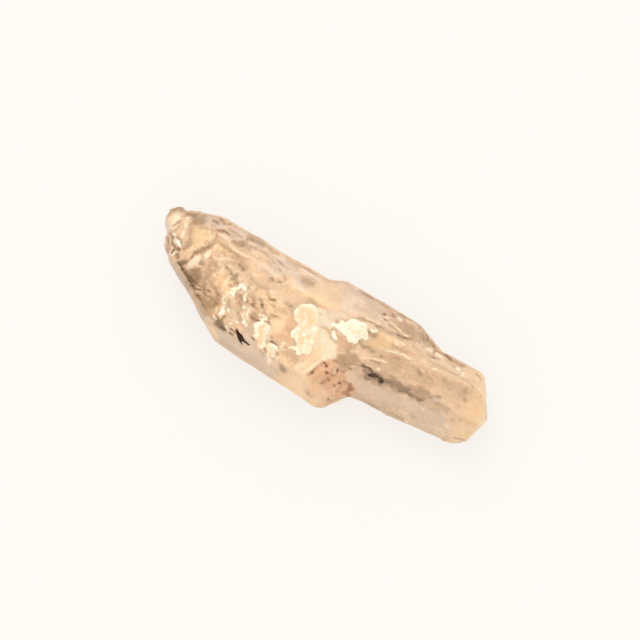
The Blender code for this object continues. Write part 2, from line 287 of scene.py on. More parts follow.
# iron-stained fracture of the step
STAIN = (
    Patch(0.85, 0.45, ((2.5, -2.0), (3.3, -1.7), (5.0, -2.2), (6.2, -2.9), (7.0, -3.1), (6.9, -4.2),
        (5.6, -5.4), (4.4, -5.2), (3.4, -4.9), (1.9, -4.8), (1.5, -4.4), (1.8, -3.4))),
    Patch(0.35, 0.8, ((1.4, -4.8), (5.6, -5.2), (5.0, -6.6), (2.4, -6.4))),
    Patch(0.4, 0.9, ((-3.7, 0.8), (-3.0, 0.3), (-2.4, -0.2), (-2.8, -1.2), (-2.2, -1.8), (-2.6, -2.6),
        (-3.8, -2.4), (-3.9, -0.6))),
    Stroke(0.9, 0.5, 0.5, ((6.6, -3.0), (6.9, -3.6), (6.4, -4.4))),
    Stroke(0.5, 0.3, 0.3, ((-20.7, 1.0), (-20.2, 0.2))),
    Stroke(0.4, 0.7, 0.6, ((2.6, 1.0), (4.2, 0.8))),
    Stroke(0.35, 0.6, 0.5, ((-13.0, 0.0), (-12.4, -0.6))),
)
# red-brown specks
RUST = (
    Stroke(0.95, 0.33, 0.3, ((2.4, -2.3), (2.45, -2.35))),
    *strokes(1.0, 0.33, 0.3, ((2.75, -2.5), (2.85, -2.6)), ((3.25, -3.2), (3.35, -3.2))),
    Stroke(0.8, 0.33, 0.3, ((1.7, -4.05), (1.8, -3.95))),
    *strokes(0.7, 0.28, 0.3, ((1.5, -4.6), (1.65, -4.2)), ((-8.2, -0.55), (-8.1, -0.7))),
    Stroke(0.8, 0.23, 0.25, ((4.15, -2.25), (4.25, -2.5))),
    Stroke(0.55, 0.23, 0.25, ((4.3, -2.15), (5.0, -2.2))),
    *strokes(0.6, 0.38, 0.5, ((4.0, -3.2), (4.3, -3.0)), ((6.1, -4.2), (6.4, -4.3))),
    Stroke(0.7, 0.33, 0.4, ((3.75, -3.8), (3.95, -3.85))),
    Stroke(0.6, 0.33, 0.45, ((3.35, -4.6), (3.5, -4.2), (3.8, -3.95))),
    Stroke(1.0, 0.28, 0.3, ((5.15, -3.55), (5.25, -3.55))),
    Stroke(0.65, 0.28, 0.35, ((4.6, -4.1), (4.85, -4.05))),
    Stroke(0.5, 0.38, 0.5, ((5.4, -3.0), (6.0, -3.3))),
    Stroke(0.3, 0.5, 0.6, ((4.9, -3.1), (5.6, -3.7), (5.4, -4.5))),
    Stroke(0.9, 0.28, 0.3, ((5.0, -5.8), (5.05, -5.9))),
    Stroke(0.55, 0.33, 0.4, ((1.5, -4.4), (1.85, -3.4), (2.25, -2.7))),
    Stroke(0.45, 0.33, 0.4, ((2.55, -6.5), (2.75, -6.5))),
    Stroke(0.7, 0.53, 0.7, ((6.35, -3.2), (6.7, -3.5), (6.5, -4.1))),
    *strokes(0.6, 0.28, 0.3, ((-20.7, 1.0), (-20.45, 0.7)), ((-20.4, 0.5), (-20.1, -0.1)),
        ((-7.15, -0.1), (-7.0, -0.3))),
    Stroke(0.7, 0.38, 0.35, ((-9.95, -0.35), (-9.85, -0.5))),
    Stroke(0.7, 0.33, 0.35, ((-8.9, -0.6), (-8.5, -0.75))),
)
# crumpled and shattered spots that are pale, and painted highlights and glints where facets catch the light
LIGHT = (
    Patch(0.6, 0.5, ((-21.7, 3.9), (-21.4, 4.3), (-20.7, 4.4), (-20.4, 3.8), (-20.1, 2.6), (-20.4, 2.0),
        (-21.2, 1.6), (-21.6, 2.6))),
    Patch(0.9, 0.3, ((-21.2, 4.1), (-20.7, 4.1), (-20.55, 3.5), (-20.8, 2.9), (-21.1, 2.9), (-21.25, 3.5))),
    Patch(1.0, 0.12, ((-20.05, 1.65), (-19.8, 1.7), (-19.1, 1.55), (-18.75, 1.15), (-18.65, 0.75),
        (-19.1, 0.95), (-19.8, 1.1))),
    Patch(0.9, 0.2, ((-15.9, 2.2), (-15.5, 2.4), (-15.3, 2.3), (-15.4, 1.2), (-15.7, 1.1), (-16.0, 1.6))),
    Patch(1.0, 0.2, ((-16.9, 0.8), (-16.3, 1.3), (-16.0, 1.1), (-16.1, 0.3), (-16.4, -0.3), (-16.5, -1.0),
        (-16.9, -0.9), (-17.2, -0.4), (-17.1, 0.3))),
    Patch(0.45, 0.5, ((-9.9, -2.3), (-9.2, -2.6), (-8.6, -3.0), (-8.8, -3.7), (-9.5, -3.6), (-9.8, -3.0))),
    Patch(0.85, 0.3, ((0.1, 1.0), (0.9, 0.75), (2.1, 0.25), (2.75, 0.1), (2.75, -0.4), (3.3, -1.05),
        (3.05, -1.45), (2.5, -1.65), (2.2, -2.2), (1.7, -1.9), (1.3, -1.0), (0.6, -0.4))),
    Patch(0.45, 0.5, ((0.2, 0.4), (1.4, -0.6), (1.7, -2.0), (0.9, -2.0), (0.3, -1.2))),
    Patch(0.5, 0.7, ((-2.4, 2.7), (-0.6, 2.9), (0.4, 2.5), (0.9, 1.6), (0.4, 1.0), (-0.4, 0.6),
        (-1.2, 1.2))),
    Patch(0.5, 0.7, ((-0.2, 2.8), (1.0, 3.3), (2.2, 3.5), (2.0, 2.4), (1.2, 1.2), (0.4, 1.2))),
    Patch(0.45, 0.7, ((-5.2, -0.1), (-4.2, -0.1), (-3.7, -1.0), (-3.7, -1.9), (-4.6, -2.2), (-5.1, -1.4))),
    Stroke(0.7, 0.35, 0.3, ((-21.2, 2.6), (-21.2, 2.2), (-20.95, 1.8))),
    *strokes(0.6, 0.3, 0.3, ((-21.6, 3.3), (-21.55, 2.8)),
        ((-14.9, 1.9), (-14.2, 1.9), (-13.4, 2.6), (-12.7, 2.7)), ((-11.6, -3.0), (-11.45, -3.5)),
        ((-10.3, -2.7), (-10.1, -2.8)), ((-10.2, -3.2), (-10.1, -4.0)),
        ((-6.7, -1.1), (-6.2, -1.0), (-5.9, -1.4), (-6.7, -1.6)), ((-9.9, 2.5), (-9.4, 2.6))),
    *strokes(0.7, 0.2, 0.2, ((-20.0, 3.0), (-20.0, 2.3)), ((-12.8, 1.9), (-12.5, 1.75)),
        ((-11.6, -3.95), (-11.1, -4.15), (-10.8, -4.3)), ((4.1, 4.6), (5.0, 4.65)),
        ((5.1, 5.7), (5.5, 5.4), (6.4, 5.3)), ((16.9, 5.3), (17.5, 5.25))),
    *strokes(0.9, 0.3, 0.2, ((-19.85, 4.35), (-19.65, 4.3)), ((-19.4, 2.8), (-19.3, 2.3), (-19.2, 2.0))),
    Stroke(1.0, 0.35, 0.2, ((-19.65, 3.8), (-19.5, 3.3))),
    *strokes(0.8, 0.2, 0.15, ((-20.5, 1.85), (-20.2, 1.85)), ((-16.2, 0.1), (-15.9, 0.1), (-15.3, 0.3)),
        ((12.6, 2.6), (12.9, 2.5))),
    *strokes(1.0, 0.25, 0.15, ((-19.6, 0.45), (-19.55, -0.35)), ((13.2, 5.15), (14.1, 5.05))),
    *strokes(1.0, 0.2, 0.15, ((-19.05, 0.4), (-19.15, -0.4)), ((-10.95, 1.25), (-10.8, 1.2)),
        ((-6.3, 3.1), (-6.2, 3.15)), ((8.3, 5.15), (9.3, 5.15)),
        ((8.0, 2.6), (9.0, 2.85), (9.9, 3.0), (10.9, 3.0)), ((8.1, 0.2), (8.35, 0.15)),
        ((11.9, 5.05), (12.8, 5.05))),
    *strokes(0.9, 0.25, 0.2, ((-20.2, 0.9), (-20.0, 0.6)), ((5.2, 3.6), (5.6, 3.8), (6.0, 4.1))),
    *strokes(0.8, 0.2, 0.2, ((-20.9, 2.1), (-20.4, 1.75), (-20.0, 1.85)),
        ((-9.65, -4.3), (-9.4, -4.5), (-9.2, -4.9)), ((0.3, 0.9), (1.0, 0.8), (1.9, 0.4), (2.6, 0.1)),
        ((1.3, 1.6), (1.9, 1.2), (2.3, 0.7)), ((1.2, 1.3), (1.7, 0.9), (2.1, 0.4)),
        ((6.8, 5.6), (7.6, 5.45), (8.3, 5.35)), ((10.75, 1.5), (10.9, 1.4)), ((13.9, -3.5), (14.3, -3.5))),
    *strokes(0.6, 0.2, 0.15, ((-20.1, 0.7), (-19.9, 0.1)), ((20.3, -2.5), (20.45, -2.2))),
    Stroke(0.6, 0.15, 0.12, ((-18.6, 0.7), (-18.3, 0.3), (-18.1, -0.1), (-18.4, -0.7))),
    *strokes(0.8, 0.3, 0.2, ((-17.4, 4.0), (-17.2, 3.95)), ((-8.6, -2.1), (-8.4, -2.5)),
        ((5.9, 5.8), (6.3, 5.9))),
    *strokes(0.7, 0.3, 0.25, ((-16.9, 4.3), (-16.6, 3.9), (-16.3, 3.7)), ((-9.1, -1.4), (-8.8, -1.3)),
        ((-2.9, -2.8), (-2.7, -2.7), (-2.9, -3.3), (-2.9, -3.8))),
    *strokes(0.7, 0.25, 0.2, ((-16.2, 4.3), (-15.95, 4.0)), ((7.2, 3.9), (7.4, 3.8)),
        ((13.2, 0.0), (13.3, -0.4), (13.5, -0.6))),
    *strokes(0.6, 0.3, 0.25, ((-16.9, 2.6), (-16.6, 2.5)),
        ((-11.1, -5.2), (-10.8, -5.5), (-10.1, -5.9), (-9.6, -6.4))),
    Stroke(0.7, 0.3, 0.2, ((-17.75, 1.2), (-17.5, 1.6))),
    *strokes(0.8, 0.25, 0.2, ((-15.4, 3.2), (-15.3, 2.6)), ((-13.3, 1.3), (-13.35, 0.5))),
    Stroke(0.9, 0.25, 0.25, ((-14.0, 4.1), (-13.8, 3.9), (-12.2, 3.8), (-11.4, 3.9))),
    *strokes(0.5, 0.4, 0.3, ((-11.9, 4.7), (-10.6, 4.6)), ((18.4, -1.5), (18.7, -1.7))),
    *strokes(0.9, 0.2, 0.15, ((-13.85, 0.2), (-13.65, -0.1)), ((13.7, 3.3), (14.2, 3.55))),
    Stroke(0.7, 0.3, 0.3, ((-12.0, 0.9), (-12.2, -0.2), (-12.1, -0.9))),
    *strokes(0.6, 0.25, 0.25, ((-13.0, -0.3), (-13.1, -0.8)), ((-14.8, -1.2), (-14.6, -1.6)),
        ((-6.3, 0.2), (-6.0, 0.2)), ((-5.5, -1.0), (-5.2, -1.3))),
    *strokes(0.6, 0.15, 0.2, ((-15.1, -2.05), (-14.4, -2.05)), ((10.9, 4.0), (11.4, 3.9))),
    Stroke(0.5, 0.25, 0.25, ((-14.6, -2.5), (-13.0, -2.7))),
    Stroke(1.0, 0.45, 0.25, ((-10.2, 0.9), (-10.5, 0.3), (-10.9, 0.0), (-10.9, -0.8), (-10.6, -1.0))),
    *strokes(1.0, 0.25, 0.2, ((-9.8, 1.0), (-9.9, 0.5), (-9.6, 0.2), (-9.3, 0.4)),
        ((5.5, 4.75), (5.8, 4.8))),
    *strokes(0.9, 0.2, 0.2, ((-9.4, 0.0), (-9.3, -0.3), (-9.15, -0.7)),
        ((5.9, 0.45), (6.8, 0.75), (7.6, 1.05), (8.6, 1.35)), ((8.6, 4.25), (9.4, 4.15))),
    Stroke(0.8, 0.4, 0.3, ((-11.3, -1.2), (-11.4, -1.9), (-11.0, -2.2), (-11.1, -2.8))),
    Stroke(1.0, 0.35, 0.25, ((-11.0, -2.7), (-10.6, -3.1), (-10.7, -3.7), (-10.8, -3.3))),
    *strokes(0.6, 0.25, 0.3, ((-12.0, -4.6), (-11.4, -4.7), (-11.1, -5.0)), ((-7.2, 1.8), (-6.6, 1.8))),
    Stroke(0.9, 0.35, 0.3, ((-8.3, -1.2), (-8.2, -1.9), (-8.0, -2.3))),
    Stroke(0.6, 0.4, 0.3, ((-8.0, -2.8), (-7.6, -3.1))),
    Stroke(1.0, 0.2, 0.2, ((-6.8, 2.85), (-6.5, 2.75))),
    *strokes(0.5, 0.5, 0.4, ((-0.5, -4.8), (0.2, -4.1), (0.5, -3.4)), ((13.0, -2.8), (13.8, -2.8))),
    Stroke(0.8, 0.8, 0.5, ((-1.1, 2.6), (-0.6, 1.6), (0.2, 0.7), (0.5, 0.0))),
    *strokes(0.75, 0.6, 0.4, ((0.5, 0.0), (0.4, -0.9), (0.45, -1.6)),
        ((-5.0, -1.8), (-4.9, -2.6), (-4.8, -3.2))),
    Stroke(0.7, 0.4, 0.3, ((1.95, -1.8), (1.7, -2.6), (1.4, -3.4), (0.9, -4.5))),
    Stroke(0.5, 0.8, 0.5, ((-2.6, -4.4), (-1.6, -4.4))),
    Stroke(0.9, 0.35, 0.2, ((7.3, 6.45), (7.8, 6.4))),
    *strokes(0.6, 0.2, 0.2, ((4.5, 0.5), (5.2, 0.8)), ((8.0, 1.3), (8.8, 1.4)), ((11.9, 5.8), (12.3, 5.7))),
    Stroke(0.8, 0.3, 0.25, ((8.3, 4.0), (8.6, 3.7))),
    Stroke(0.7, 0.15, 0.2, ((9.4, 4.5), (10.2, 4.4))),
    *strokes(0.5, 0.2, 0.2, ((11.2, 2.8), (11.6, 2.9)), ((5.8, -2.6), (6.6, -2.8))),
    Stroke(1.0, 0.3, 0.15, ((16.3, 4.9), (16.5, 4.85))),
    Stroke(1.0, 0.3, 0.12, ((17.1, 4.7), (17.2, 4.45))),
    Stroke(0.5, 0.3, 0.25, ((10.7, -0.7), (11.1, -1.0))),
    Stroke(0.5, 0.25, 0.2, ((15.15, -1.3), (15.25, -1.3))),
    Stroke(0.55, 0.2, 0.3, ((3.8, -2.35), (4.05, -2.8))),
    Stroke(0.4, 0.3, 0.3, ((4.9, -4.5), (5.2, -4.8))),
    Stroke(0.35, 0.9, 0.7, ((-5.2, 0.9), (-4.7, 0.5), (-4.2, 0.2))),
    Stroke(0.4, 0.8, 0.6, ((-9.4, 0.6), (-8.5, 0.6))),
    Stroke(0.4, 0.9, 0.8, ((12.0, -3.3), (16.0, -3.0), (18.6, -2.6))),
    Stroke(0.35, 1.2, 1.0, ((20.6, -2.0), (21.2, -0.1), (21.4, 1.0))),
    Stroke(0.2, 1.0, 0.8, ((11.2, 2.0), (12.4, 2.2))),
    Stroke(0.75, 0.45, 0.3, ((-20.6, 1.1), (-20.2, 0.4))),
    Stroke(0.3, 0.8, 0.6, ((-16.2, 3.5), (-15.4, 3.3))),
    Stroke(0.35, 0.6, 0.5, ((8.6, 6.8), (10.2, 6.6))),
    *strokes(0.3, 0.6, 0.5, ((4.0, 6.7), (5.4, 6.6)), ((-16.9, 2.1), (-16.3, 1.9))),
    *strokes(0.3, 0.7, 0.5, ((-11.3, -5.3), (-10.5, -5.7)), ((4.0, -6.5), (4.8, -6.6))),
    Stroke(0.25, 0.9, 0.7, ((19.9, 3.4), (20.3, 2.6))),
)
# brown to black flaws, and painted shade: internal shadows, shadows under ledges and dark lines along the
# edges, by strength
SHADE = (
    Patch(0.55, 0.35, ((-19.0, 0.2), (-18.6, 0.3), (-18.2, -0.1), (-18.4, -0.5), (-18.9, -0.4))),
    Patch(0.65, 0.4, ((-18.3, -0.75), (-17.9, -0.3), (-17.5, 0.1), (-17.2, 0.1), (-17.2, -0.4),
        (-17.5, -0.95), (-17.9, -1.0))),
    # painted shade: the internal shadow in the flank near the tip, in these two patches
    Patch(0.58, 0.7, ((-16.6, -0.6), (-15.9, -0.15), (-15.2, -0.1), (-14.8, -0.6), (-14.6, -1.5),
        (-15.0, -2.4), (-15.9, -2.2), (-17.0, -1.4))),
    Patch(0.85, 0.6, ((-17.1, -1.3), (-16.4, -1.1), (-15.6, -1.3), (-15.1, -1.7), (-15.5, -2.4),
        (-16.2, -2.2))),
    # painted shade: the internal shadow in the lower flank of the middle
    Patch(0.8, 0.4, ((-11.2, -3.9), (-10.8, -3.8), (-10.2, -4.1), (-9.7, -4.4), (-9.3, -4.85),
        (-10.2, -4.9), (-11.2, -4.9), (-11.0, -4.5))),
    Patch(0.35, 0.5, ((-9.0, -0.4), (-8.0, -0.3), (-7.9, -0.9), (-8.8, -1.0))),
    Patch(0.6, 0.5, ((-2.2, -4.9), (-1.6, -4.85), (-0.9, -5.3), (-0.7, -5.7), (-1.3, -5.8), (-1.9, -5.4))),
    # painted shade: the dark band of internal shadow under the crest of the slim crystal, in these four
    # patches
    Patch(0.95, 0.35, ((7.3, -1.0), (7.7, -0.6), (8.3, -0.4), (9.2, -0.4), (9.7, -0.6), (9.7, -1.05),
        (9.1, -1.15), (8.7, -1.0), (7.7, -1.2))),
    Patch(0.6, 0.6, ((6.8, -0.5), (7.7, -0.3), (8.4, -0.35), (9.4, -0.35), (10.1, -0.6), (9.6, -1.4),
        (8.4, -1.6), (7.6, -1.75), (7.0, -1.2))),
    Patch(0.62, 0.6, ((6.2, -0.5), (7.4, -0.3), (8.6, -0.2), (10.6, 0.1), (12.8, 0.1), (13.4, -0.5),
        (12.0, -1.0), (10.0, -1.0), (8.0, -1.6), (7.0, -1.3))),
    Patch(0.45, 0.7, ((12.5, -0.3), (12.8, 0.4), (13.6, 1.0), (14.8, 1.2), (15.3, 0.8), (15.0, 0.2),
        (14.5, -0.3), (13.7, -0.5))),
    # the first path: painted shade along the rim of the tip's nub
    *strokes(0.35, 0.3, 0.25, ((-20.6, 4.85), (-20.0, 4.75), (-19.4, 4.85)), ((-13.0, 4.9), (-12.7, 4.7))),
    Stroke(0.5, 0.18, 0.15, ((-20.35, 3.7), (-20.6, 3.2), (-20.75, 2.7))),
    *strokes(0.6, 0.15, 0.15, ((-20.7, 2.05), (-20.45, 2.0)), ((-4.6, -2.8), (-4.3, -2.8))),
    *strokes(0.65, 0.15, 0.15, ((-19.85, 1.75), (-19.4, 1.75), (-19.0, 1.5), (-18.7, 1.1)),
        ((18.6, 5.4), (19.0, 5.35), (19.4, 5.1))),
    *strokes(0.3, 0.2, 0.2, ((-20.6, 4.3), (-20.4, 4.1)), ((-16.9, 5.55), (-16.5, 5.6)),
        ((-16.0, 4.2), (-15.7, 4.1)), ((-14.1, 2.9), (-13.8, 2.8)), ((-14.7, 2.15), (-14.3, 2.15)),
        ((15.2, 2.8), (15.9, 2.85))),
    *strokes(0.6, 0.25, 0.2, ((-20.7, 1.75), (-20.4, 1.45), (-20.1, 1.45)), ((6.0, 5.5), (6.2, 5.45)),
        ((12.9, 5.3), (12.9, 5.1))),
    Stroke(0.55, 0.25, 0.25, ((-20.75, 1.2), (-20.45, 0.8), (-20.2, 0.4))),
    Stroke(0.7, 0.25, 0.2, ((-20.0, 0.95), (-19.6, 0.7), (-18.8, 0.65))),
    *strokes(0.6, 0.2, 0.2, ((-19.9, 0.4), (-19.8, -0.2)), ((-15.9, 0.4), (-15.5, 0.3)),
        ((-12.9, 1.6), (-12.4, 1.45), (-12.0, 1.3)), ((-10.5, -3.9), (-10.4, -3.5), (-10.3, -3.3)),
        ((-8.3, -0.6), (-8.05, -0.7)), ((-7.0, 0.95), (-6.5, 1.0), (-6.1, 1.1)),
        ((-0.6, -3.6), (-0.5, -3.6)), ((11.2, 6.4), (11.7, 6.1))),
    Stroke(0.5, 0.3, 0.2, ((-19.9, 0.7), (-19.4, 0.6), (-18.9, 0.5))),
    *strokes(0.45, 0.15, 0.15, ((-19.2, 1.55), (-18.8, 1.3), (-18.6, 1.0)),
        ((-8.1, 5.3), (-7.7, 5.15), (-7.3, 5.1)), ((1.3, 1.5), (1.7, 1.5)),
        ((17.2, 4.1), (18.2, 4.1), (19.0, 3.85))),
    Stroke(0.75, 0.2, 0.15, ((-19.35, 0.35), (-19.35, -0.3))),
    # painted shade along the rim of the tip's nub
    Stroke(0.3, 0.2, 0.25, ((-21.7, 4.4), (-21.3, 4.85), (-20.8, 5.0))),
    # painted shade: thin dark lines along the top edge of the stone
    *strokes(0.25, 0.15, 0.2, ((-19.6, 4.95), (-18.4, 5.7), (-17.3, 6.1), (-16.4, 6.25)),
        ((-14.8, 6.2), (-12.0, 6.25), (-10.6, 6.2)),
        ((-7.6, 6.1), (-6.2, 6.0), (-4.6, 6.15), (-2.6, 6.1), (-1.6, 6.15)),
        ((-1.2, 6.4), (-0.4, 6.85), (1.0, 7.0))),
    *strokes(0.3, 0.3, 0.3, ((-20.2, 2.9), (-20.4, 2.2)), ((-15.1, 1.7), (-15.3, 1.3))),
    *strokes(0.35, 0.2, 0.2, ((-20.4, 0.4), (-19.8, -0.2)), ((-9.2, 4.55), (-8.8, 4.5)),
        ((13.8, 2.2), (14.4, 2.2)), ((8.2, -3.9), (10.6, -3.85))),
    *strokes(0.3, 0.15, 0.15, ((-18.4, 5.6), (-17.8, 5.1), (-17.7, 4.8)), ((18.5, 1.2), (18.6, 1.15))),
    *strokes(0.4, 0.2, 0.2, ((-16.0, 4.9), (-15.1, 5.15), (-14.7, 5.1)), ((-7.4, 0.6), (-6.8, 0.6)),
        ((-8.0, 2.8), (-7.9, 2.75)), ((-7.5, 4.5), (-7.25, 4.3)), ((-0.9, 2.4), (-0.7, 2.3)),
        ((-1.8, 2.1), (-1.6, 2.0)), ((20.1, 3.6), (20.15, 3.2)), ((6.4, 0.4), (7.2, 0.6), (8.2, 0.85)),
        ((6.4, 0.15), (7.4, 0.2))),
    Stroke(0.45, 0.25, 0.2, ((-12.6, 5.6), (-12.0, 5.85))),
    # the first path: painted shade under the ledge near the tip
    *strokes(0.6, 0.2, 0.15, ((-17.05, 1.25), (-17.15, 0.8), (-17.2, 0.2)), ((-9.7, 0.9), (-9.65, 0.7)),
        ((-1.25, -2.5), (-1.2, -2.8))),
    # the first path: painted shade under the ledge near the tip
    *strokes(0.35, 0.4, 0.3, ((-16.0, 2.7), (-16.5, 2.0), (-16.8, 1.4)), ((6.4, 1.6), (6.8, 1.7))),
    Stroke(0.95, 0.3, 0.3, ((-18.2, -0.75), (-17.7, -0.9), (-17.3, -1.15))),
    # painted shade: strokes of the internal shadow in the flank near the tip
    Stroke(0.45, 0.45, 0.4, ((-15.6, -0.2), (-15.3, -0.6), (-15.1, -1.1))),
    Stroke(0.5, 0.4, 0.4, ((-16.8, -1.15), (-16.2, -1.2), (-15.9, -1.0))),
    Stroke(0.9, 0.4, 0.4, ((-16.3, -1.75), (-15.8, -2.0), (-15.4, -2.15))),
    Stroke(0.6, 0.3, 0.4, ((-14.9, -1.8), (-14.3, -1.85), (-13.6, -2.1))),
    Stroke(0.95, 0.25, 0.2, ((-15.4, -2.3), (-14.9, -2.35), (-14.3, -2.2))),
    *strokes(0.35, 0.5, 0.5, ((-14.7, -0.7), (-13.9, -0.9), (-13.0, -1.1), (-12.4, -1.5)),
        ((-12.2, -2.2), (-11.9, -2.9))),
    *strokes(0.45, 0.5, 0.4, ((-15.9, 0.7), (-15.5, 0.6), (-15.4, 0.4)),
        ((-14.2, -1.3), (-14.0, -2.0), (-13.4, -2.3))),
    Stroke(0.7, 0.2, 0.2, ((-14.4, -2.95), (-13.8, -3.2), (-13.3, -3.5), (-12.8, -3.7))),
    Stroke(0.7, 0.3, 0.25, ((-13.5, -1.75), (-13.1, -1.85))),
    *strokes(0.45, 0.4, 0.3, ((-12.4, -1.5), (-12.2, -1.7)), ((-11.5, 1.4), (-11.3, 1.0), (-11.8, 0.7)),
        ((-10.15, -0.4), (-9.8, -0.5), (-9.5, -0.9)), ((12.5, 2.1), (12.8, 2.0))),
    Stroke(0.5, 0.35, 0.3, ((-11.9, 2.6), (-11.5, 2.5), (-11.2, 2.3))),
    # painted shade: the dark lower edge of the internal shadow in the lower flank of the middle
    Stroke(0.9, 0.3, 0.2, ((-10.2, -4.75), (-9.7, -4.85), (-9.4, -4.8))),
    Stroke(1.0, 0.35, 0.1, ((-8.3, -4.15), (-7.9, -4.4), (-7.5, -4.6), (-7.2, -4.85))),
    Stroke(1.0, 0.15, 0.1, ((-7.3, -4.8), (-6.8, -4.85), (-6.25, -4.95))),
    Stroke(1.0, 0.12, 0.12, ((-7.5, -4.9), (-7.2, -5.15), (-6.95, -5.3))),
    Stroke(0.8, 0.22, 0.2, ((-8.95, -4.35), (-8.6, -4.5), (-8.3, -4.5))),
    Stroke(0.8, 0.28, 0.25, ((-8.9, -4.9), (-8.4, -4.8))),
    Stroke(0.7, 0.12, 0.12, ((-6.6, -3.95), (-6.2, -4.05), (-5.9, -4.1))),
    Stroke(0.5, 0.2, 0.15, ((-9.4, 0.15), (-9.55, -0.1))),
    Stroke(0.25, 0.4, 0.4, ((-8.6, 0.2), (-8.2, -0.1))),
    *strokes(0.5, 0.3, 0.3, ((-9.6, -1.2), (-9.2, -1.6)), ((-10.8, -1.6), (-10.6, -2.0)),
        ((-7.7, 0.3), (-7.4, 0.1))),
    Stroke(0.9, 0.25, 0.15, ((-7.15, -0.1), (-7.0, -0.3))),
    Stroke(0.45, 0.3, 0.3, ((-7.0, -0.3), (-6.6, -0.5), (-6.3, -0.8))),
    *strokes(0.45, 0.15, 0.2, ((-5.8, -0.45), (-5.2, -0.45), (-4.6, -0.4)),
        ((7.0, 7.0), (8.8, 7.1), (10.4, 6.9), (11.2, 6.7))),
    Stroke(0.4, 0.15, 0.2, ((-5.8, -0.8), (-5.7, -1.2), (-5.4, -1.6))),
    Stroke(0.25, 0.3, 0.3, ((-4.7, 0.5), (-4.2, 0.4))),
    Stroke(0.7, 0.6, 0.5, ((13.1, -0.5), (14.3, -0.5))),
    Stroke(0.4, 0.8, 0.7, ((5.9, 4.4), (8.6, 4.7))),
    Stroke(0.4, 0.6, 0.5, ((11.2, 6.0), (12.4, 5.7))),
    Stroke(0.35, 0.6, 0.5, ((9.0, 0.2), (10.1, 0.0))),
    Stroke(0.45, 0.6, 0.5, ((-12.6, 4.9), (-11.8, 4.7))),
    Stroke(0.3, 0.6, 0.5, ((-12.8, 3.1), (-12.0, 2.9))),
    Stroke(0.45, 0.5, 0.5, ((-16.2, -2.2), (-15.6, -2.6))),
    Stroke(0.35, 0.5, 0.4, ((-19.1, 4.4), (-18.5, 4.2))),
    Stroke(0.4, 0.4, 0.3, ((-4.9, 1.3), (-4.2, 1.4))),
    Stroke(0.6, 0.4, 0.3, ((-7.6, -1.9), (-7.0, -2.0), (-6.7, -1.95))),
    Stroke(0.45, 0.4, 0.4, ((-7.6, -1.4), (-7.2, -1.6))),
    *strokes(0.45, 0.2, 0.2, ((-9.2, -2.3), (-8.7, -2.6), (-8.5, -2.8)), ((18.6, -0.65), (18.9, -0.65)),
        ((20.1, -2.4), (20.5, -2.2), (21.1, -2.1)), ((7.7, 1.6), (7.9, 1.6))),
    *strokes(0.7, 0.2, 0.15, ((-7.8, 3.2), (-7.6, 3.0), (-7.4, 2.95)), ((-2.85, -4.05), (-2.7, -4.2))),
    *strokes(0.5, 0.2, 0.2, ((-6.85, 3.2), (-6.65, 3.2)), ((-3.0, -4.7), (-2.9, -4.9)),
        ((12.9, 4.5), (13.4, 4.6))),
    *strokes(0.35, 0.3, 0.3, ((-6.6, 4.1), (-6.3, 3.7)), ((1.3, 2.6), (1.5, 2.3))),
    Stroke(0.95, 0.25, 0.12, ((-4.1, -3.25), (-4.0, -3.3))),
    *strokes(0.85, 0.2, 0.15, ((-3.75, -3.35), (-3.5, -3.35)), ((8.3, 4.75), (8.8, 4.85), (9.2, 4.9))),
    Stroke(0.55, 0.25, 0.2, ((-4.4, -4.4), (-4.2, -4.6))),
    *strokes(0.5, 0.25, 0.25, ((-4.6, -4.9), (-4.2, -5.0)), ((14.2, 5.45), (15.2, 5.4))),
    Stroke(0.35, 0.12, 0.15, ((7.0, -4.15), (6.2, -4.95), (5.4, -5.8), (5.0, -6.5))),
    Stroke(0.45, 0.1, 0.15, ((0.0, 1.2), (0.9, 1.15), (1.4, 1.05))),
    Stroke(0.4, 0.15, 0.15, ((1.6, 0.8), (1.9, 0.5), (2.3, 0.3))),
    Stroke(0.55, 0.2, 0.2, ((2.9, 3.75), (2.95, 3.7))),
    *strokes(0.35, 0.15, 0.2, ((2.7, 4.0), (3.4, 4.25), (4.4, 4.45), (5.8, 4.5)),
        ((2.2, 7.0), (3.2, 7.0), (5.6, 6.9)), ((14.8, 3.3), (15.6, 3.35))),
    Stroke(0.75, 0.25, 0.2, ((5.6, 6.1), (5.8, 6.05))),
    Stroke(0.4, 0.3, 0.3, ((6.5, 6.4), (6.7, 6.3))),
    Stroke(0.55, 0.15, 0.2, ((9.2, 4.9), (9.9, 5.05))),
    *strokes(0.3, 0.4, 0.4, ((18.2, 3.1), (18.3, 2.8)), ((18.7, 2.2), (19.0, 2.0)),
        ((4.6, -1.3), (5.2, -1.2)), ((14.4, -2.6), (14.9, -2.6))),
    Stroke(0.45, 0.2, 0.15, ((19.5, -0.2), (19.6, -0.2))),
    Stroke(0.5, 0.15, 0.15, ((6.8, 0.65), (7.6, 0.85), (8.1, 0.95))),
    *strokes(0.4, 0.25, 0.25, ((4.1, 0.1), (4.8, 0.0), (5.2, 0.2)), ((3.2, -1.6), (3.8, -1.5))),
    Stroke(0.15, 0.3, 0.3, ((3.6, -0.9), (4.4, -1.0))),
    Stroke(0.8, 0.2, 0.15, ((5.2, -1.45), (5.5, -1.5))),
    # painted shade: strokes of the dark band of internal shadow in the slim crystal
    Stroke(0.6, 0.2, 0.25, ((5.1, -0.95), (5.8, -0.65), (6.4, -0.4))),
    Stroke(0.95, 0.35, 0.3, ((6.5, -0.4), (7.0, -0.35), (7.5, -0.4), (7.9, -0.6))),
    Stroke(0.7, 0.25, 0.3, ((7.3, -1.3), (7.8, -1.45), (8.2, -1.3))),
    Stroke(0.8, 0.35, 0.45, ((9.6, -0.7), (10.2, -0.6), (11.0, -0.5), (11.7, -0.75), (12.2, -0.5),
        (12.9, -0.6))),
